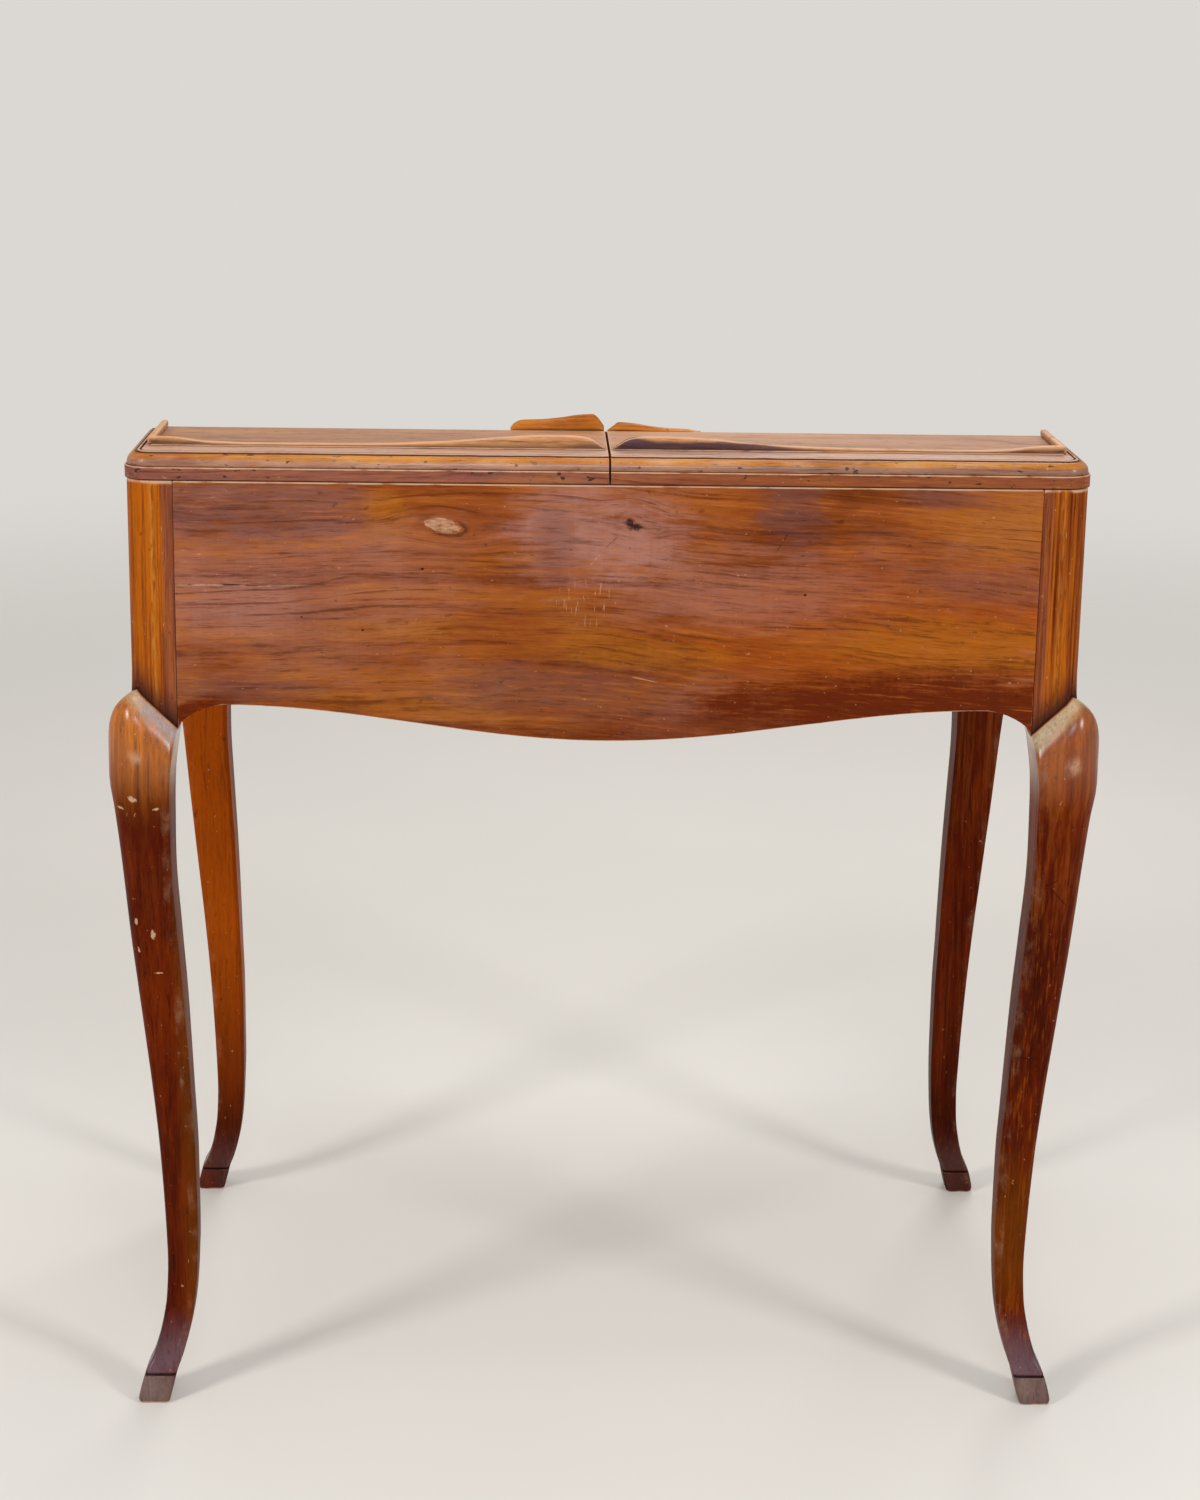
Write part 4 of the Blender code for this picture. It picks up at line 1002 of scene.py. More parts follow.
class Form:
    """A mesh in the making, whose face corners carry wear, and dirt with painted shade, from 0 to 1."""

    sharp = math.radians(30.0)

    def __init__(self, data=None):
        self.mesh = bmesh.new()
        if data is not None:
            self.mesh.from_mesh(data)
        self.wear = self.layer("wear")
        self.grime = self.layer("grime")

    def layer(self, name):
        """A number on every face corner, 0 until it is set."""
        layers = self.mesh.loops.layers.float
        return layers.get(name) or layers.new(name)

    def vertex(self, point):
        return self.mesh.verts.new(point)

    def face(self, verts, wear=None, grime=None):
        made = self.mesh.faces.new(verts)
        for i, loop in enumerate(made.loops):
            loop[self.wear] = wear[i] if wear else 0.0
            loop[self.grime] = grime[i] if grime else 0.0
        return made

    def loft(self, rings, wear=None, grime=None, caps=True):
        """Skin rings of equally many points. Wear, and dirt with painted shade, where given, match the rings."""
        loops = [[self.vertex(point) for point in ring] for ring in rings]
        count = len(loops[0])

        def corners(values, level, i, k):
            if values is None:
                return None
            return values[level][i], values[level][k], values[level + 1][k], values[level + 1][i]

        for level in range(len(loops) - 1):
            low, high = loops[level], loops[level + 1]
            for i in range(count):
                k = (i + 1) % count
                self.face((low[i], low[k], high[k], high[i]),
                          corners(wear, level, i, k), corners(grime, level, i, k))
        if caps:
            self.face(loops[0])
            self.face(loops[-1])
        return self

    def ease(self, width, least_face=0.004, least_edge=0.008, above=-1.0):
        """Round the long outer edges of a board that lie above a height, and mark the round as worn."""
        def broad(face):
            return face.calc_area() / max(edge.calc_length() for edge in face.edges) > least_face

        def chosen(edge):
            return (edge.is_manifold and edge.calc_face_angle(0.0) > self.sharp and edge.is_convex
                    and edge.calc_length() > least_edge and all(map(broad, edge.link_faces))
                    and all(vert.co.z > above for vert in edge.verts))

        made = bmesh.ops.bevel(
            self.mesh, geom=[edge for edge in self.mesh.edges if chosen(edge)], offset=width,
            offset_type="OFFSET", segments=3, profile=0.5, affect="EDGES", clamp_overlap=True)
        for face in made["faces"]:
            for loop in face.loops:
                loop[self.wear] = 1.0
        return self

    def finish(self, name, finish_name, body, slot, replaced=(), angle=32.0):
        """Turn the form into a piece that rides on a body of the frame."""
        bmesh.ops.recalc_face_normals(self.mesh, faces=self.mesh.faces)
        data = bpy.data.meshes.new(name)
        self.mesh.to_mesh(data)
        self.mesh.free()
        data.shade_smooth()
        data.set_sharp_from_angle(angle=math.radians(angle))
        data.materials.append(FINISHES[finish_name])
        item = bpy.data.objects.new(name, data)
        bpy.context.scene.collection.objects.link(item)
        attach(item, body)
        if replaced:
            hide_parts(*replaced)
        return item


def body_of(node):
    """The body of the frame that a node rides on."""
    return next(body for body, nodes in frame["record"]["behaviour"]["bodies"].items() if node in nodes)


def slot_of(node):
    """The material slot that the record gives a node."""
    return next(row["material_slot"] for row in frame["record"]["subparts"] if row["node"] == node)


def node_form(node):
    """A form with a node's shape, whose flat faces are whole again."""
    form = Form(frame["nodes"][node].data)
    mesh = form.mesh
    bmesh.ops.remove_doubles(mesh, verts=mesh.verts, dist=0.00002)
    bmesh.ops.dissolve_limit(mesh, angle_limit=math.radians(0.4), verts=mesh.verts, edges=mesh.edges)
    return form


def make_board(node, finish_name, ease, rim=None):
    """A board of the frame with its edges eased, its upper ones by the rim's own width where one is given."""
    form = node_form(node)
    if rim is not None:
        form.ease(rim, above=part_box(node)[1].z - FIT)
    form.ease(ease)
    return form.finish(f"{node}_board", finish_name, body_of(node), slot_of(node), (node,))


def paint_node(node, finish_name):
    """Give a node of the frame its finish."""
    item = frame["nodes"][node]
    if not item.material_slots:
        item.data.materials.append(None)
    for slot in item.material_slots:
        slot.material = FINISHES[finish_name]


def table_value(table, place, column=1):
    """Read one column of a table between its rows, along a curve that never overshoots them."""
    if place <= table[0][0]:
        return table[0][column]
    if place >= table[-1][0]:
        return table[-1][column]
    k = max(i for i in range(len(table) - 1) if table[i][0] <= place)

    def grade(i):
        return (table[i + 1][column] - table[i][column]) / (table[i + 1][0] - table[i][0])

    def tangent(i):
        if i == 0:
            return grade(0)
        if i == len(table) - 1:
            return grade(i - 1)
        before, after = grade(i - 1), grade(i)
        if before * after <= 0:
            return 0.0
        return 2 * before * after / (before + after)

    span = table[k + 1][0] - table[k][0]
    t = (place - table[k][0]) / span
    start, end = table[k][column], table[k + 1][column]
    return (start * (1 + 2 * t) * (1 - t) ** 2 + tangent(k) * span * t * (1 - t) ** 2
            + end * t * t * (3 - 2 * t) + tangent(k + 1) * span * t * t * (t - 1))


def crest_table(node):
    """Height of a node's upper edge over the distance from the middle of the desk."""
    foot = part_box(node)[0].z
    heights = {}
    for vertex in frame["nodes"][node].data.vertices:
        key = round(abs(vertex.co.x), 5)
        heights[key] = max(heights.get(key, foot), vertex.co.z)
    return tuple(sorted(heights.items()))


def arc(centre, radius, start, end, steps):
    """Points along part of a circle, between two angles in degrees."""
    angles = [math.radians(angle) for angle in spaced(start, end, steps)]
    return [(centre[0] + radius * math.cos(a), centre[1] + radius * math.sin(a)) for a in angles]


def spaced(start, end, steps):
    """Even steps from one number to another, with both ends."""
    return [start + (end - start) * i / steps for i in range(steps + 1)]


def bell(value, middle, spread):
    """1 at the middle, falling away to 0 on both sides."""
    return math.exp(-((value - middle) / spread) ** 2)


def fall_slope():
    """Lean of the closed fall, from the broad face of its leather."""
    broad = max(frame["nodes"]["leather_inset"].data.polygons, key=lambda face: face.area)
    return math.acos(abs(broad.normal.normalized().z))


def on_fall(node):
    """A flat piece of the closed fall: its middle, the ways down and out of the slope, and its half sizes."""
    points = [vertex.co.copy() for vertex in frame["nodes"][node].data.vertices]
    middle = sum(points, Vector()) / len(points)
    slope = fall_slope()
    down = Vector((0.0, math.cos(slope), -math.sin(slope)))
    out = Vector((0.0, math.sin(slope), math.cos(slope)))
    wide = max(abs(point.x) for point in points)
    long, thick = (max(abs((point - middle).dot(way)) for point in points) for way in (down, out))
    return middle, down, out, wide, long, thick


def case_edge(y):
    """Height of the case's upper edge: level under the shelf lids, then sloping under the fall."""
    slope = fall_slope()
    return min(CASE_TOP, HINGE.z + (HINGE.y - y) * math.tan(slope) - FIT / math.cos(slope))


def post_plan(arris, corner):
    """The post's plan, measured inward from the case corner, with its outer corner rounded."""
    outer = arc((corner, corner), corner, 180, 270, ROUND_STEPS)
    face = [(x, 0.0) for x in spaced(corner, POST - arris, FACE_STEPS)[1:-1]]
    edge = arc((POST - arris, arris), arris, 270, 360, ARRIS_STEPS)
    inner = [(POST, POST / 2), (POST, POST - arris), (POST - arris, POST), (POST / 2, POST)]
    return outer + face + edge + inner + [(y, x) for x, y in reversed(face + edge)]


def knee_limit(depth):
    """How far the knee's shoulder has swelled at a depth below its ledge."""
    if depth <= 0:
        return 0.0
    left = max(0.0, 1 - depth / KNEE_SHOULDER)
    return KNEE_PROUD * (1 - left ** KNEE_SHOULDER_POWER)


def leg_plan(index, height, arris):
    """How far the leg stands out and lies inside at a height, and one point of its plan there."""
    proud, inside, corner = (table_value(LEG_CURVE, height / KNEE_TOP, column) for column in (1, 2, 3))
    stretch = POST / (inside + proud)
    return proud, inside, post_plan(arris * stretch, min(corner * stretch, POST_ROUND))[index]


def swell(place, other, height, proud, inside):
    """Move a place outward as far as the ledge above it lets the knee stand out."""
    depth = KNEE_TOP + KNEE_CREST - KNEE_LEDGE_SLOPE * max(0.0, other) - height
    out = min(proud, knee_limit(depth))
    return -out + place / POST * (inside + out)


def ledge_height(index):
    """Height at which a point of the plan meets the sloping ledge of the knee."""
    high = KNEE_TOP + KNEE_CREST
    low = high - KNEE_LEDGE_SLOPE * POST
    for _ in range(30):
        middle = (low + high) / 2
        proud, inside, (across, along) = leg_plan(index, middle, LEG_ARRIS)
        x = swell(across, along, middle, proud, inside)
        y = swell(along, across, middle, proud, inside)
        if KNEE_TOP + KNEE_CREST - KNEE_LEDGE_SLOPE * max(x, y, 0.0) > middle:
            low = middle
        else:
            high = middle
    return low


def leg_point(index, height, arris):
    """One point of the leg's plan at a height, measured inward from the case corner."""
    proud, inside, (across, along) = leg_plan(index, height, arris)
    x = swell(across, along, height, proud, inside)
    y = swell(along, across, height, proud, inside)
    return swell(across, y, height, proud, inside), swell(along, x, height, proud, inside)


class Leg:
    """One cabriole leg with its corner post, built of rings from the floor up."""

    # Share of the post's width at which the carver's pull aims, and the least distance from there
    heart = 0.45
    least_reach = 0.004

    def __init__(self, side, end, shape):
        self.side, self.end, self.shape = side, end, shape
        self.plan = post_plan(POST_ARRIS, POST_ROUND)
        self.edges = [self.arris_wear(spot) for spot in self.plan]
        self.creases = [ledge_height(i) for i in range(len(self.plan))]
        self.rings, self.wear, self.grime = [], [], []

    @staticmethod
    def arris_wear(spot):
        """Wear of a point of the plan, where it lies on one of the two visible inner edges."""
        on_edge = max(spot) > POST - LEG_ARRIS * 2 and min(spot) < LEG_ARRIS * 2
        return ARRIS_WEAR if on_edge else 0.0

    def form(self):
        self.add_foot()
        self.add_shaft()
        self.add_knee()
        self.add_post()
        return Form().loft(self.rings, self.wear, self.grime)

    def add(self, points, rubbed, shade_and_dirt):
        """Add a ring, with the wear, and the dirt with painted shade, of each of its points."""
        self.rings.append(points)
        self.wear.append(rubbed)
        self.grime.append(shade_and_dirt)

    def place(self, x, y, z):
        """A place in the frame, from distances inward from the case corner and a height."""
        return self.side * (HALF_WIDTH - x), self.end * (FRONT - y), z

    def carved(self, x, y, z):
        """Pull a point inward by a little, as a spokeshave would."""
        spot = Vector((x * 45 + self.side * 9, y * 45 + self.end * 7, z * 30))
        wander = self.shape.hand * (0.5 + 0.5 * noise.noise(spot))
        middle = POST * self.heart
        pull = 1 - wander / max(math.hypot(x - middle, y - middle), self.least_reach)
        return middle + (x - middle) * pull, middle + (y - middle) * pull

    def add_level(self, height, inset=0.0, edge=0.0, shade_and_dirt=0.0):
        """Add a level ring, drawn in by an inset."""
        count = len(self.plan)
        outline = [leg_point(i, height, LEG_ARRIS) for i in range(count)]
        centre = [sum(point[axis] for point in outline) / count for axis in (0, 1)]
        half = max(math.hypot(x - centre[0], y - centre[1]) for x, y in outline)
        pull = 1 - inset / (half * 0.75)
        points = []
        for x, y in outline:
            x, y = self.carved(centre[0] + (x - centre[0]) * pull, centre[1] + (y - centre[1]) * pull, height)
            points.append(self.place(x, y, height))
        self.add(points, [max(edge, worn) for worn in self.edges], [shade_and_dirt] * count)

    def add_foot(self):
        """The eased sole, the toe and the groove above it: height, inset, wear, and dirt with painted shade in the
        groove, of each level.
        """
        toe, depth = self.shape.toe_height, self.shape.groove
        rows = [(0.0, 0.0006, 1.0, 0.0), (0.0007, 0.0, 1.0, 0.0), (0.0016, 0.0, 0.25, 0.0)]
        rows += [(height, 0.0, 0.12, 0.0) for height in spaced(0.0040, toe - 0.0024, 5)]
        rows += [
            (toe - 0.0014, 0.0, 0.2, 0.0),
            (toe - 0.0008, 0.0, 0.3, 0.1),
            (toe - 0.0004, depth * 0.45, 0.2, 0.9),
            (toe, depth, 0.0, 1.0),
            (toe + 0.0009, depth, 0.0, 1.0),
            (toe + 0.0013, depth * 0.45, 0.0, 0.9),
            (toe + 0.0017, 0.0, 0.2, 0.2),
        ]
        for row in rows:
            self.add_level(*row)

    def add_shaft(self):
        """Plain levels from the toe's groove to the knee."""
        toe, top = self.shape.toe_height, KNEE_FOOT * KNEE_TOP
        heights = [row[0] * KNEE_TOP for row in LEG_CURVE]
        rows = [toe + 0.003] + [height for height in heights if toe + 0.004 < height < top] + [top]
        for start, end in zip(rows, rows[1:]):
            for height in spaced(start, end, LEVEL_STEPS)[:-1]:
                self.add_level(height)

    def add_knee(self):
        """Rings that rise to the crease of the ledge, with a worn crest and a rubbed spot below it."""
        foot = KNEE_FOOT * KNEE_TOP
        for step in range(KNEE_STEPS + 1):
            rise = 1 - (1 - step / KNEE_STEPS) ** 1.8
            points, rubbed, shade_and_dirt = [], [], []
            for i, (spot, crease, edge) in enumerate(zip(self.plan, self.creases, self.edges)):
                height = foot + (crease - foot) * rise
                points.append(self.place(*self.carved(*leg_point(i, height, LEG_ARRIS), height), height))
                below = crease - height
                crest = bell(below, 0.0014, 0.0010)
                bump = bell(max(spot), 0.017, 0.007) * bell(KNEE_TOP - height, 0.050, 0.009)
                rubbed.append(max(0.60 * crest, 0.62 * bump, edge))
                # Painted shade, with dirt, in the crease under the ledge
                shade_and_dirt.append(max(0.0, 1 - below / 0.0007))
            self.add(points, rubbed, shade_and_dirt)

    def add_post(self):
        """Rings from the crease, close together at first, to the eased rim of the case."""
        ease, count = self.shape.rim, len(self.plan)
        tops = [case_edge(FRONT - along) if self.end > 0 else CASE_TOP for _, along in self.plan]
        for share in [(step / POST_STEPS) ** 2 for step in range(1, POST_STEPS)] + [0.985, 1.0]:
            points, shade_and_dirt = [], []
            for i, (crease, top) in enumerate(zip(self.creases, tops)):
                height = crease + (top - ease - crease) * share
                points.append(self.place(*leg_point(i, height, POST_ARRIS), height))
                # Painted shade, with dirt, fading up the post from the crease
                shade_and_dirt.append(max(0.0, 0.45 - (height - crease) / 0.012))
            self.add(points, [0.8 if share == 1.0 else 0.0] * count, shade_and_dirt)
        for drop, inset in ((ease * 0.3, ease * 0.3), (0.0, ease)):
            pull = 1 - inset / (POST * 0.5)
            points = []
            for spot, top in zip(self.plan, tops):
                x, y = (POST / 2 + (value - POST / 2) * pull for value in spot)
                points.append(self.place(x, y, top - drop))
            self.add(points, [1.0] * count, [0.0] * count)


class DESK_OT_legs(bpy.types.Operator):
    """Carve the four cabriole legs with their corner posts"""

    bl_idname = "desk.legs"
    bl_label = "Legs"

    def execute(self, context):
        for end_name, end in (("back", -1), ("front", 1)):
            for side_name, side in SIDES:
                node = f"leg_{end_name}_{side_name}"
                form = Leg(side, end, context.scene.desk_shape).form()
                form.finish(f"{node}_carved", "legs", "case", slot_of(node), (node,), angle=38.0)
        return {"FINISHED"}


class DESK_OT_case(bpy.types.Operator):
    """Ease the boards of the case and set the filled knot in its back"""

    bl_idname = "desk.case"
    bl_label = "Case"

    bracket_reach = 0.036
    bracket_drop = 0.0042
    seam_width = 0.0014
    seam_wear = 0.30
    knot_steps = 40
    knot_rings = 9
    knot_ragged = 0.24
    knot_crown = 0.00045
    knot_tear = 0.00032
    knot_sunk = 0.0003
    knot_floor = 0.0012

    def execute(self, context):
        shape = context.scene.desk_shape
        self.make_back(shape)
        make_board("front_apron", "case_X", shape.ease)
        for side_name, _ in SIDES:
            make_board(f"side_panel_{side_name}", "case_Y", shape.ease)
        self.make_knot()
        return {"FINISHED"}

    def make_back(self, shape):
        """The back panel, with deeper brackets and its joints to the posts hardly worn."""
        form = node_form("back_panel")
        edge = HALF_WIDTH - POST
        for vert in form.mesh.verts:
            if vert.co.z < KNEE_TOP:
                share = max(0.0, 1 - (edge - abs(vert.co.x)) / self.bracket_reach)
                vert.co.z -= self.bracket_drop * share * share * (3 - 2 * share)
        form.ease(shape.rim, above=CASE_TOP - FIT).ease(shape.ease)
        for face in form.mesh.faces:
            for loop in face.loops:
                spot = loop.vert.co
                if abs(spot.x) > edge - self.seam_width and spot.z < CASE_TOP - shape.rim:
                    loop[form.wear] *= self.seam_wear
        form.finish("back_panel_board", "back", "case", slot_of("back_panel"), ("back_panel",))

    def make_knot(self):
        """A ragged oval plug, a little proud of the back and torn across its grain."""
        x, z, long, high, tilt = PALE_KNOT
        turn, lean = math.cos(tilt), math.sin(tilt)
        loops, shade_and_dirt = [], []
        for ring in range(self.knot_rings + 1):
            share = 1 - ring / (self.knot_rings + 1)
            crown = self.knot_crown * math.sin(math.pi / 2 * min(1.0, (1 - share) * 2.4))
            loop = []
            for i in range(self.knot_steps):
                angle = 2 * math.pi * i / self.knot_steps
                across, up = math.cos(angle), math.sin(angle)
                ragged = 1 + self.knot_ragged * noise.noise(Vector((across * 2.3, up * 2.3, 3.0)))
                a, b = long * share * ragged * across, high * share * ragged * up
                px, pz = x + a * turn - b * lean, z + a * lean + b * turn
                torn = self.knot_tear * noise.noise(Vector((px * 160, 0.0, pz * 430))) if ring else 0.0
                loop.append((px, BACK + self.knot_sunk - crown + torn, pz))
            loops.append(loop)
            # Dirt with painted shade round the knot's rim and down its sides
            shade_and_dirt.append([max(0.0, 1 - (1 - share) * 6)] * self.knot_steps)
        floor = [(px, BACK + self.knot_floor, pz) for px, _, pz in loops[0]]
        form = Form().loft([floor] + loops, None, [[1.0] * self.knot_steps] + shade_and_dirt)
        form.finish("back_knot", "knot", "case", "walnut_case", angle=60.0)


class DESK_OT_carcase(bpy.types.Operator):
    """Ease the boards inside the case"""

    bl_idname = "desk.carcase"
    bl_label = "Carcase"

    def execute(self, context):
        ease = context.scene.desk_shape.ease
        for node in ("dust_board", "well_floor"):
            make_board(node, "inner_X", ease * 0.6)
        make_board("well_divider", "inner_Y", ease * 0.6)
        for node in ("writing_deck", "well_rail"):
            make_board(node, "case_X", ease)
        for side_name, _ in SIDES:
            make_board(f"runner_{side_name}", "case_Y", ease * 0.7)
            make_board(f"drawer_divider_{side_name}", "case_Y", ease * 0.7)
        return {"FINISHED"}


class DESK_OT_lids(bpy.types.Operator):
    """Run the moulded edge of the two shelf lids and stand their ledges on them"""

    bl_idname = "desk.lids"
    bl_label = "Shelf lids"

    corner_steps = 16
    ovolo_steps = 12
    ledge_steps = 110
    soft = 0.0007
    fillet_set = 0.0016
    fillet = 0.0010
    quirk = 0.0014
    bead = 0.0008
    groove = 0.0012
    groove_stop = 0.007
    ledge_bend = 0.0011
    ledge_bend_steps = 5
    end_ease = 0.0012
    end_wear = 0.45

    def levels(self, shape, thick):
        """The moulding from its seat up: inset, height, inset of the plain sides, wear, and dirt with painted
        shade in its quirks, its groove and along its seat.
        """
        band, soft, bead = shape.band_height, self.soft, self.bead
        foot = band + self.fillet
        crown = thick - self.quirk
        bed = thick - self.groove
        reach = self.fillet_set + shape.ovolo_reach
        rows = [
            (soft, 0.0, 0.0004, 0.0, 1.0),
            (0.0002, soft * 0.35, 0.0001, 0.0, 1.0),
            (0.0, soft, 0.0, 0.2, 0.3),
            (0.0, soft * 2, 0.0, 0.0, 0.0),
            (0.0, band - soft * 2, 0.0, 0.0, 0.0),
            (0.0, band - soft, 0.0, 0.6, 0.0),
            (0.0003, band - 0.0002, 0.0, 1.0, 0.0),
            (0.0009, band, 0.0, 1.0, 0.0),
            (self.fillet_set, band, 0.0, 0.2, 0.8),
            (self.fillet_set, foot, 0.0, 0.5, 0.3),
        ]
        for i in range(1, self.ovolo_steps + 1):
            angle = math.pi / 2 * i / self.ovolo_steps
            inset = reach - shape.ovolo_reach * math.cos(angle)
            rubbed = 0.35 if 3 < i < 9 else 0.0
            shade_and_dirt = 0.9 if i > self.ovolo_steps - 2 else 0.0
            rows.append((inset, foot + (crown - foot) * math.sin(angle), 0.0, rubbed, shade_and_dirt))
        return rows + [
            (reach + bead, crown, 0.0, 0.0, 1.0),
            (reach + bead, thick - bead, 0.0, 0.6, 0.4),
            (reach + bead * 1.4, thick - bead * 0.25, 0.0002, 1.0, 0.0),
            (reach + bead * 2, thick, 0.0006, 0.8, 0.0),
            (reach + 0.0023, thick, 0.0009, 0.5, 0.0),
            (reach + 0.0027, bed, 0.0012, 0.0, 1.0),
            (reach + 0.0039, bed, 0.0015, 0.0, 1.0),
            (reach + 0.0041, thick - 0.0001, 0.0018, 0.0, 1.0),
            (reach + 0.0045, thick, 0.0021, 0.4, 0.0),
            (reach + 0.0080, thick, 0.0040, 0.0, 0.0),
        ]

    def make_lid(self, side_name, side, shape):
        """A lid with its moulding along its back and end, and a groove in its top that stops short."""
        node = f"shelf_lid_{side_name}"
        low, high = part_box(node)
        split, end = sorted((abs(low.x), abs(high.x)))
        back, front, seat = low.y, high.y, low.z
        thick = high.z - low.z
        rim = self.fillet_set + shape.ovolo_reach + self.bead * 2
        turn = (end - POST_ROUND, back + POST_ROUND)
        rings, wear, grime = [], [], []
        for inset, height, plain, rubbed, shade_and_dirt in self.levels(shape, thick):
            corner = arc(turn, POST_ROUND - inset, 270, 360, self.corner_steps)
            plan = [(split + plain, front - plain), (split + plain, back + inset)]
            plan += [(split + self.groove_stop, back + inset)] + corner
            plan += [(end - inset, front - self.groove_stop), (end - inset, front - plain)]
            count = len(plan)
            stopped = [inset > rim and i in (0, 1, count - 1) for i in range(count)]
            heights = [seat + (thick if stop else height) for stop in stopped]
            rings.append([(side * x, y, z) for (x, y), z in zip(plan, heights)])
            wear.append([rubbed] * count)
            grime.append([0.0 if stop else shade_and_dirt for stop in stopped])
        form = Form().loft(rings, wear, grime)
        form.finish(f"{node}_moulded", "lids", body_of(node), slot_of(node), (node,), angle=28.0)

    def make_back_ledge(self, side_name, side):
        """A low shaped ledge with a bead at its foot and a rounded top, read from the frame's own profile."""
        node = f"back_ledge_{side_name}"
        low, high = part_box(node)
        table = crest_table(node)
        steps = self.ledge_bend_steps
        rings, wear, grime = [], [], []
        for x in spaced(table[0][0], table[-1][0], self.ledge_steps):
            rise = max(table_value(table, x) - low.z, 0.0004)
            bend = min(self.ledge_bend, rise * 0.45)
            bead = min(self.bead, rise * 0.4)
            shoulder = low.z + rise - bend
            section = [(low.y - bead, low.z), (low.y - bead * 0.8, low.z + bead * 0.6),
                       (low.y, low.z + bead * 0.9), (low.y, low.z + bead * 1.3)]
            section += arc((low.y + bend, shoulder), bend, 180, 90, steps)
            section += arc((high.y - bend, shoulder), bend, 90, 0, steps)
            section += [(high.y, low.z + rise * 0.35), (high.y, low.z)]
            rings.append([(side * x, y, z) for y, z in section])
            wear.append([1.0, 1.0, 0.5, 0.0] + [0.0, 0.7, 1.0, 1.0, 0.7, 0.2] + [0.0] * 8)
            # Dirt with painted shade where the ledge meets the lid, at its bead and along its far foot
            grime.append([0.0, 0.0, 0.5, 0.7] + [0.0] * 12 + [0.15, 1.0])
        form = Form().loft(rings, wear, grime)
        form.finish(f"{node}_shaped", "ledges", body_of(node), slot_of(node), (node,), angle=40.0)

    def make_end_ledge(self, side_name):
        """A short ledge with its edges rounded and worn all over."""
        node = f"end_ledge_{side_name}"
        form = node_form(node).ease(self.end_ease, least_face=0.002, least_edge=0.003)
        for face in form.mesh.faces:
            for loop in face.loops:
                loop[form.wear] = max(loop[form.wear], self.end_wear)
        form.finish(f"{node}_shaped", "ledges", body_of(node), slot_of(node), (node,))

    def execute(self, context):
        shape = context.scene.desk_shape
        for side_name, side in SIDES:
            self.make_lid(side_name, side, shape)
            self.make_back_ledge(side_name, side)
            self.make_end_ledge(side_name)
        return {"FINISHED"}


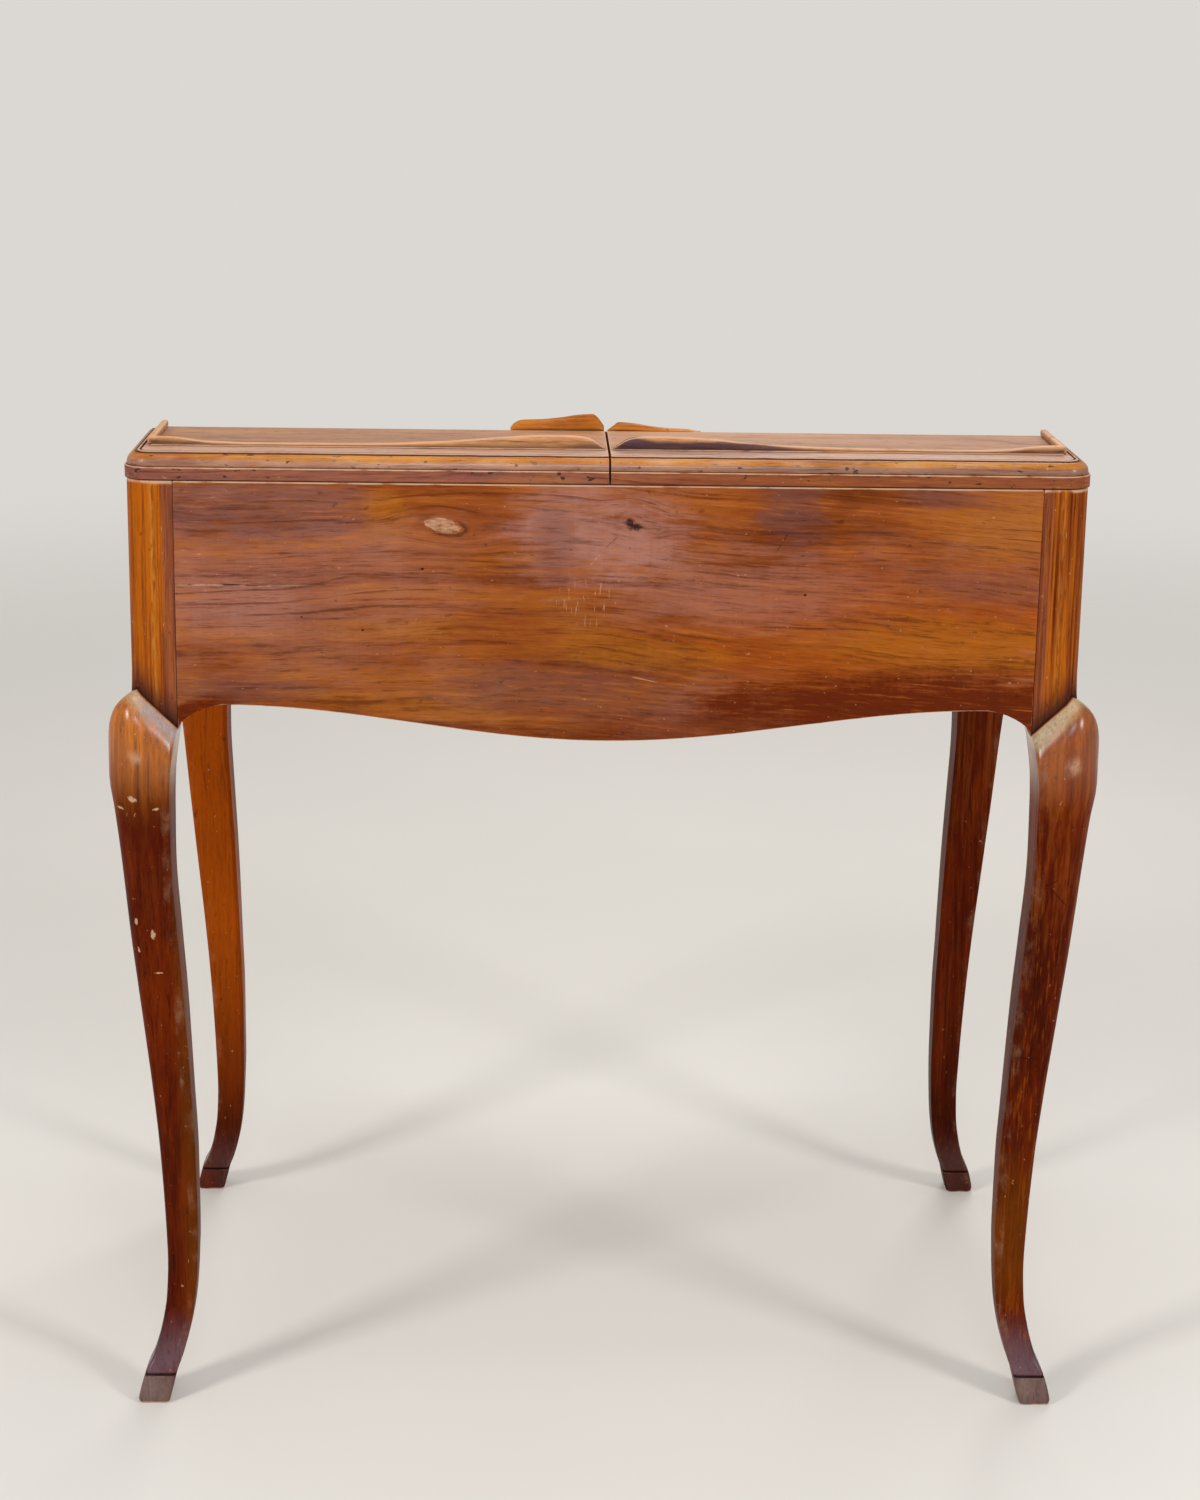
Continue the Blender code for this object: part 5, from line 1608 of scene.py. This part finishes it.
class DESK_OT_fall(bpy.types.Operator):
    """Make the fall with its leather, finger pulls and lock plate"""

    bl_idname = "desk.fall"
    bl_label = "Fall"

    leather_steps = (96, 44)
    leather_tuck = 0.0005
    pull_steps = 60
    plate_steps = 64
    keyhole_radius = 0.0021
    keyhole_drop = 0.0062
    keyhole_half = 0.00105
    keyhole_lift = 0.0015

    def make_leather(self):
        """Leather let into the fall, a little uneven, with the distance from its rim on every corner."""
        node = "leather_inset"
        middle, down, out, wide, long, thick = on_fall(node)
        inward = -out
        form = Form()
        rim = form.layer("rim")
        columns, rows = self.leather_steps
        xs = spaced(-wide, wide, columns)
        ys = spaced(-long, long, rows)

        def point(x, y):
            edge = min(wide - abs(x), long - abs(y))
            sink = 0.00012 * noise.noise(Vector((x * 28, y * 28, 1.0))) + 0.00014
            lift = thick - sink * min(1.0, edge / 0.02) - self.leather_tuck * max(0.0, 1 - edge / 0.004)
            return middle + Vector((x, 0.0, 0.0)) + down * y + inward * lift

        grid = [[form.vertex(point(x, y)) for y in ys] for x in xs]
        for i in range(columns):
            for j in range(rows):
                spots = ((i, j), (i + 1, j), (i + 1, j + 1), (i, j + 1))
                face = form.face([grid[a][b] for a, b in spots])
                for loop, (a, b) in zip(face.loops, spots):
                    loop[rim] = min(wide - abs(xs[a]), long - abs(ys[b]))
        edge = ([grid[i][0] for i in range(columns)] + [grid[columns][j] for j in range(rows)]
                + [grid[i][rows] for i in range(columns, 0, -1)] + [grid[0][j] for j in range(rows, 0, -1)])
        lower = [form.vertex(vert.co - inward * (2 * thick - self.leather_tuck)) for vert in edge]
        for i in range(len(edge)):
            k = (i + 1) % len(edge)
            form.face((edge[i], lower[i], lower[k], edge[k]))
        form.face(list(reversed(lower)))
        form.finish("writing_leather", "leather", "fall", slot_of(node), (node,), angle=50.0)

    def make_pull(self, side_name, side):
        """A carved finger pull: a wave with a rounded back."""
        node = f"fall_pull_{side_name}"
        low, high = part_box(node)
        middle = (low.y + high.y) / 2
        table = crest_table(node)
        first, last = table[0][0], table[-1][0]
        slope = math.tan(fall_slope())
        rings, wear, grime = [], [], []
        for x in spaced(first, last, self.pull_steps):
            top = table_value(table, x)
            near = min(1.0, (x - first) / 0.006 + 0.25, (last - x) / 0.010 + 0.25)
            half = (high.y - low.y) / 2 * (0.72 + 0.28 * near)
            foot = [low.z + (high.y - y) * slope for y in (middle - half, middle + half)]
            section = [(middle - half, foot[0])]
            for angle in range(180, -1, -15):
                turn = math.radians(angle)
                y = middle + half * math.cos(turn) * (1 - 0.16 * math.sin(turn))
                base = foot[0] + (foot[1] - foot[0]) * (y - middle + half) / (2 * half)
                section.append((y, base + max(top - base, 0.0006) * (0.30 + 0.70 * math.sin(turn) ** 0.8)))
            section.append((middle + half, foot[1]))
            rings.append([(side * x, y, z) for y, z in section])
            wear.append([0.0] * 4 + [0.30] * 7 + [0.0] * 4)
            # Dirt with painted shade where the pull meets the fall
            grime.append([0.9] + [0.0] * 13 + [0.9])
        form = Form().loft(rings, wear, grime)
        form.finish(f"{node}_carved", "pulls", "fall", slot_of(node), (node,), angle=45.0)

    def make_lock_plate(self):
        """An oval brass plate with a keyhole, over the dark iron mouth of the lock, which also stands as painted
        shade inside the keyhole.
        """
        node = "lock_plate"
        middle, down, out, wide, long, half = on_fall(node)
        turns = [2 * math.pi * i / self.plate_steps for i in range(self.plate_steps)]

        def spot(x, along, height):
            return middle + Vector((x, 0.0, 0.0)) + down * along + out * height

        def ring(scale_x, scale_long, height):
            return [spot(math.cos(a) * wide * scale_x, math.sin(a) * long * scale_long, height)
                    for a in turns]

        def keyhole(height):
            loop = []
            for a in turns:
                across, along = math.cos(a), math.sin(a)
                reach = self.keyhole_radius
                if along > 0:
                    slot = min(self.keyhole_drop / along, self.keyhole_half / max(abs(across), 1e-6))
                    reach = max(reach, slot)
                loop.append(spot(across * reach, along * reach - self.keyhole_lift, height))
            return loop

        plate = [ring(1.0, 1.0, -half), ring(1.0, 1.0, half * 0.1), ring(0.94, 0.965, half * 0.8),
                 ring(0.80, 0.88, half * 0.55), ring(0.72, 0.83, half), keyhole(half), keyhole(-half)]
        form = Form().loft(plate, caps=False)
        form.finish("lock_plate_cast", "brass", "fall", slot_of(node), (node,), angle=40.0)
        # A dark iron cup under the keyhole: the lock's mouth, and painted shade inside the hole
        bottom = [middle + (point - middle) * 0.9 for point in keyhole(-half * 0.96)]
        mouth = Form().loft([keyhole(-half * 0.98), bottom])
        mouth.finish("lock_mouth", "iron", "fall", "iron", angle=40.0)

    def execute(self, context):
        make_board("fall_board", "case_X", context.scene.desk_shape.ease)
        self.make_leather()
        for side_name, side in SIDES:
            self.make_pull(side_name, side)
        self.make_lock_plate()
        return {"FINISHED"}


class DESK_OT_drawers(bpy.types.Operator):
    """Ease the boards of the drawers and lopers"""

    bl_idname = "desk.drawers"
    bl_label = "Drawers and lopers"

    def execute(self, context):
        ease = context.scene.desk_shape.ease
        make_board("drawer_front", "case_X", ease)
        make_board("drawer_back", "inner_X", ease * 0.5)
        make_board("drawer_bottom", "inner_X", ease * 0.5)
        for side_name, _ in SIDES:
            make_board(f"drawer_side_{side_name}", "inner_Y", ease * 0.5)
            make_board(f"loper_{side_name}", "case_Y", ease)
        for place in ("left", "middle", "right"):
            make_board(f"small_drawer_{place}", "case_X", ease * 0.7)
        return {"FINISHED"}


class DESK_OT_knobs(bpy.types.Operator):
    """Turn the brass knobs"""

    bl_idname = "desk.knobs"
    bl_label = "Knobs"

    # Share of the knob's reach, then of its radius
    profile = ((0.00, 0.52), (0.07, 0.50), (0.13, 0.38), (0.24, 0.33), (0.36, 0.38), (0.44, 0.62),
               (0.55, 0.88), (0.66, 0.985), (0.76, 1.00), (0.86, 0.90), (0.94, 0.66), (0.985, 0.36),
               (1.00, 0.10))
    steps_along = 30
    steps_round = 32

    def execute(self, context):
        names = [f"drawer_knob_{name}" for name, _ in SIDES] + [f"loper_knob_{name}" for name, _ in SIDES]
        names += [f"small_drawer_knob_{name}" for name in ("left", "middle", "right")]
        last = 360 - 360 / self.steps_round
        for node in names:
            low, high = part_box(node)
            centre = (low + high) / 2
            radius, reach = (high.x - low.x) / 2, high.y - low.y
            rings = []
            for share in spaced(0.0, 1.0, self.steps_along):
                swelling = radius * table_value(self.profile, share)
                ring = arc((centre.x, centre.z), swelling, 0, last, self.steps_round - 1)
                rings.append([(x, low.y + reach * share, z) for x, z in ring])
            form = Form().loft(rings)
            form.finish(f"{node}_turned", "brass", body_of(node), slot_of(node), (node,), angle=50.0)
        return {"FINISHED"}


class DESK_OT_hinges(bpy.types.Operator):
    """Finish the hinges and drive their screws"""

    bl_idname = "desk.hinges"
    bl_label = "Hinges"

    finishes = {"fall_hinge_leaf": "brass", "deck_hinge_leaf": "brass", "lid_hinge_leaf": "tarnished",
                "case_hinge_leaf": "tarnished", "fall_hinge_pin": "iron", "lid_hinge_pin": "iron"}
    leaf_thick = 0.0015
    screw_radius = 0.0026
    screw_rise = 0.0007
    screw_steps = 20

    # The screw's dome, as shares of its radius and rise, and how deep and wide its slot is
    screw_dome = ((1.0, 0.0), (0.96, 0.45), (0.80, 0.80), (0.5, 0.98), (0.16, 1.0))
    slot_depth = 0.55
    slot_half = 0.13

    # Shares of the leaf's length and height at which its screws stand, and the turns of their slots
    screw_places = ((0.22, 0.4), (0.78, 1.3))
    screw_height = 0.34

    def execute(self, context):
        for side_name, side in SIDES:
            for node, finish_name in self.finishes.items():
                paint_node(f"{node}_{side_name}", finish_name)
            self.drive_screws(side_name, side)
        return {"FINISHED"}

    def add_screw(self, form, centre, face, slot_way):
        """A slotted dome head on a plate: its rim, crown and the slot across it."""
        side_way = face.cross(slot_way)
        radius = self.screw_radius
        loops = []
        for share, height in self.screw_dome:
            loop = []
            for i in range(self.screw_steps):
                angle = 2 * math.pi * i / self.screw_steps
                a, b = radius * share * math.cos(angle), radius * share * math.sin(angle)
                sink = self.slot_depth if abs(b) < radius * self.slot_half else 0.0
                rise = self.screw_rise * (height - sink * height)
                loop.append(centre + slot_way * a + side_way * b + face * rise)
            loops.append(loop)
        form.loft(loops)

    def drive_screws(self, side_name, side):
        """Two screws in each case leaf, on the end of the desk."""
        low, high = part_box(f"case_hinge_leaf_{side_name}")
        plate = side * (HALF_WIDTH + FIT + self.leaf_thick)
        height = low.z + (high.z - low.z) * self.screw_height
        form = Form()
        for share, turn in self.screw_places:
            centre = Vector((plate, low.y + (high.y - low.y) * share, height))
            way = Vector((0.0, math.cos(turn), math.sin(turn)))
            self.add_screw(form, centre, Vector((side, 0.0, 0.0)), way)
        form.finish(f"case_hinge_screws_{side_name}", "tarnished", "case", "brass", angle=50.0)


# Soft lamps: name, place, the point they face, their two sizes, power and colour
LAMPS = (
    ("window_left", (-2.2, -1.9, 2.1), (0.0, -0.2, 0.5), (0.6, 0.8), 38.0, (1.0, 0.98, 0.95)),
    ("window_right", (2.2, -2.0, 2.0), (0.0, -0.2, 0.5), (0.6, 0.8), 33.0, (1.0, 0.985, 0.96)),
    ("daylight", (0.1, -2.9, 2.3), (0.0, -0.2, 0.5), (0.9, 0.5), 18.0, (0.74, 0.85, 1.0)),
    ("overhead", (0.0, -0.1, 2.9), (0.0, 0.0, 0.6), (1.6, 1.0), 14.0, (1.0, 0.99, 0.97)),
    ("sitter_side", (0.5, 2.1, 2.4), (0.0, 0.1, 0.45), (1.2, 1.0), 22.0, (1.0, 0.985, 0.96)),
)


class DESK_OT_stage(bpy.types.Operator):
    """Set the floor, the soft light and the camera"""

    bl_idname = "desk.stage"
    bl_label = "Stage"

    floor_size = 14.0
    sensor = 36.0
    world_light = 0.45

    def execute(self, context):
        stage = context.scene.desk_stage
        context.scene.view_settings.view_transform = "Standard"
        self.make_floor(stage)
        self.make_world(context.scene, stage)
        for lamp in LAMPS:
            self.make_light(*lamp)
        self.make_camera(context.scene, stage)
        return {"FINISHED"}

    def make_floor(self, stage):
        """A pale floor that fades into the light around it."""
        form = bmesh.new()
        bmesh.ops.create_grid(form, x_segments=8, y_segments=8, size=self.floor_size)
        data = bpy.data.meshes.new("floor")
        form.to_mesh(data)
        form.free()
        material, graph = new_finish("pale_floor")
        x, y, _ = graph.axes()
        away = graph.math("SQRT", x * x + y * y)
        cloud = graph.noise(graph.spot(), (2.0, 2.0, 2.0), 4.0, 0.55)
        tones = ((0.3, scaled(stage.floor, 0.97)), (0.7, stage.floor))
        dress(graph, Base_Color=graph.ramp(cloud, tones), Roughness=0.75, Specular_IOR_Level=0.2,
              Alpha=away.fall(1.0, 4.4))
        data.materials.append(material)
        floor = bpy.data.objects.new("floor", data)
        bpy.context.scene.collection.objects.link(floor)

    def make_world(self, scene, stage):
        """Even light all round, brighter where the camera, metal or glass sees it."""
        world = bpy.data.worlds.new("studio")
        world.use_nodes = True
        scene.world = world
        graph = Graph(world.node_tree)
        camera, glossy, through = (graph.add("ShaderNodeLightPath", None, None, f"Is {ray} Ray")
                                   for ray in ("Camera", "Glossy", "Transmission"))
        seen = strongest(camera * 0.75, glossy * 0.25, through * 0.75)
        background = world.node_tree.nodes["Background"]
        graph.feed(background.inputs["Color"], stage.floor)
        graph.feed(background.inputs["Strength"], self.world_light + seen * (1 - self.world_light))

    @staticmethod
    def make_light(name, place, aim, size, power, colour):
        data = bpy.data.lights.new(name, "AREA")
        data.shape = "RECTANGLE"
        data.size, data.size_y = size
        data.energy = power
        data.color = colour
        item = bpy.data.objects.new(name, data)
        item.location = place
        item.rotation_euler = (Vector(aim) - Vector(place)).to_track_quat("-Z", "Y").to_euler()
        bpy.context.scene.collection.objects.link(item)

    def make_camera(self, scene, stage):
        """The camera of the photo's view, from its place and its turns."""
        yaw, pitch, roll = stage.yaw, stage.pitch, stage.roll
        level = math.cos(pitch)
        forward = Vector((math.sin(yaw) * level, math.cos(yaw) * level, -math.sin(pitch)))
        right = Vector((math.cos(yaw), -math.sin(yaw), 0.0))
        up = right.cross(forward)
        turned = right * math.cos(roll) + up * math.sin(roll)
        upright = up * math.cos(roll) - right * math.sin(roll)
        data = bpy.data.cameras.new("camera")
        data.lens = stage.lens
        data.sensor_width = self.sensor
        camera = bpy.data.objects.new("camera", data)
        rows = zip(turned, upright, -forward, Vector(stage.eye))
        camera.matrix_world = Matrix([*map(list, rows), [0.0, 0.0, 0.0, 1.0]])
        scene.collection.objects.link(camera)
        scene.camera = camera


PIECES = (DESK_OT_finishes, DESK_OT_legs, DESK_OT_case, DESK_OT_carcase, DESK_OT_lids, DESK_OT_fall,
          DESK_OT_drawers, DESK_OT_knobs, DESK_OT_hinges, DESK_OT_stage)


class DESK_PT_panel(bpy.types.Panel):
    """Lists the steps that dress the desk"""

    bl_idname = "DESK_PT_panel"
    bl_label = "Writing desk"
    bl_space_type = "VIEW_3D"
    bl_region_type = "UI"
    bl_category = "Desk"

    def draw(self, context):
        for operator in PIECES:
            self.layout.operator(operator.bl_idname)


CLASSES = (DeskShape, DeskFinish, DeskStage) + PIECES + (DESK_PT_panel,)


def register():
    for cls in CLASSES:
        bpy.utils.register_class(cls)
    bpy.types.Scene.desk_shape = PointerProperty(type=DeskShape)
    bpy.types.Scene.desk_finish = PointerProperty(type=DeskFinish)
    bpy.types.Scene.desk_stage = PointerProperty(type=DeskStage)


def unregister():
    del bpy.types.Scene.desk_stage
    del bpy.types.Scene.desk_finish
    del bpy.types.Scene.desk_shape
    for cls in reversed(CLASSES):
        bpy.utils.unregister_class(cls)


def main():
    register()
    bpy.ops.desk.finishes()
    bpy.ops.desk.legs()
    bpy.ops.desk.case()
    bpy.ops.desk.carcase()
    bpy.ops.desk.lids()
    bpy.ops.desk.fall()
    bpy.ops.desk.drawers()
    bpy.ops.desk.knobs()
    bpy.ops.desk.hinges()
    bpy.ops.desk.stage()
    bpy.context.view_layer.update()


if __name__ == "__main__":
    main()
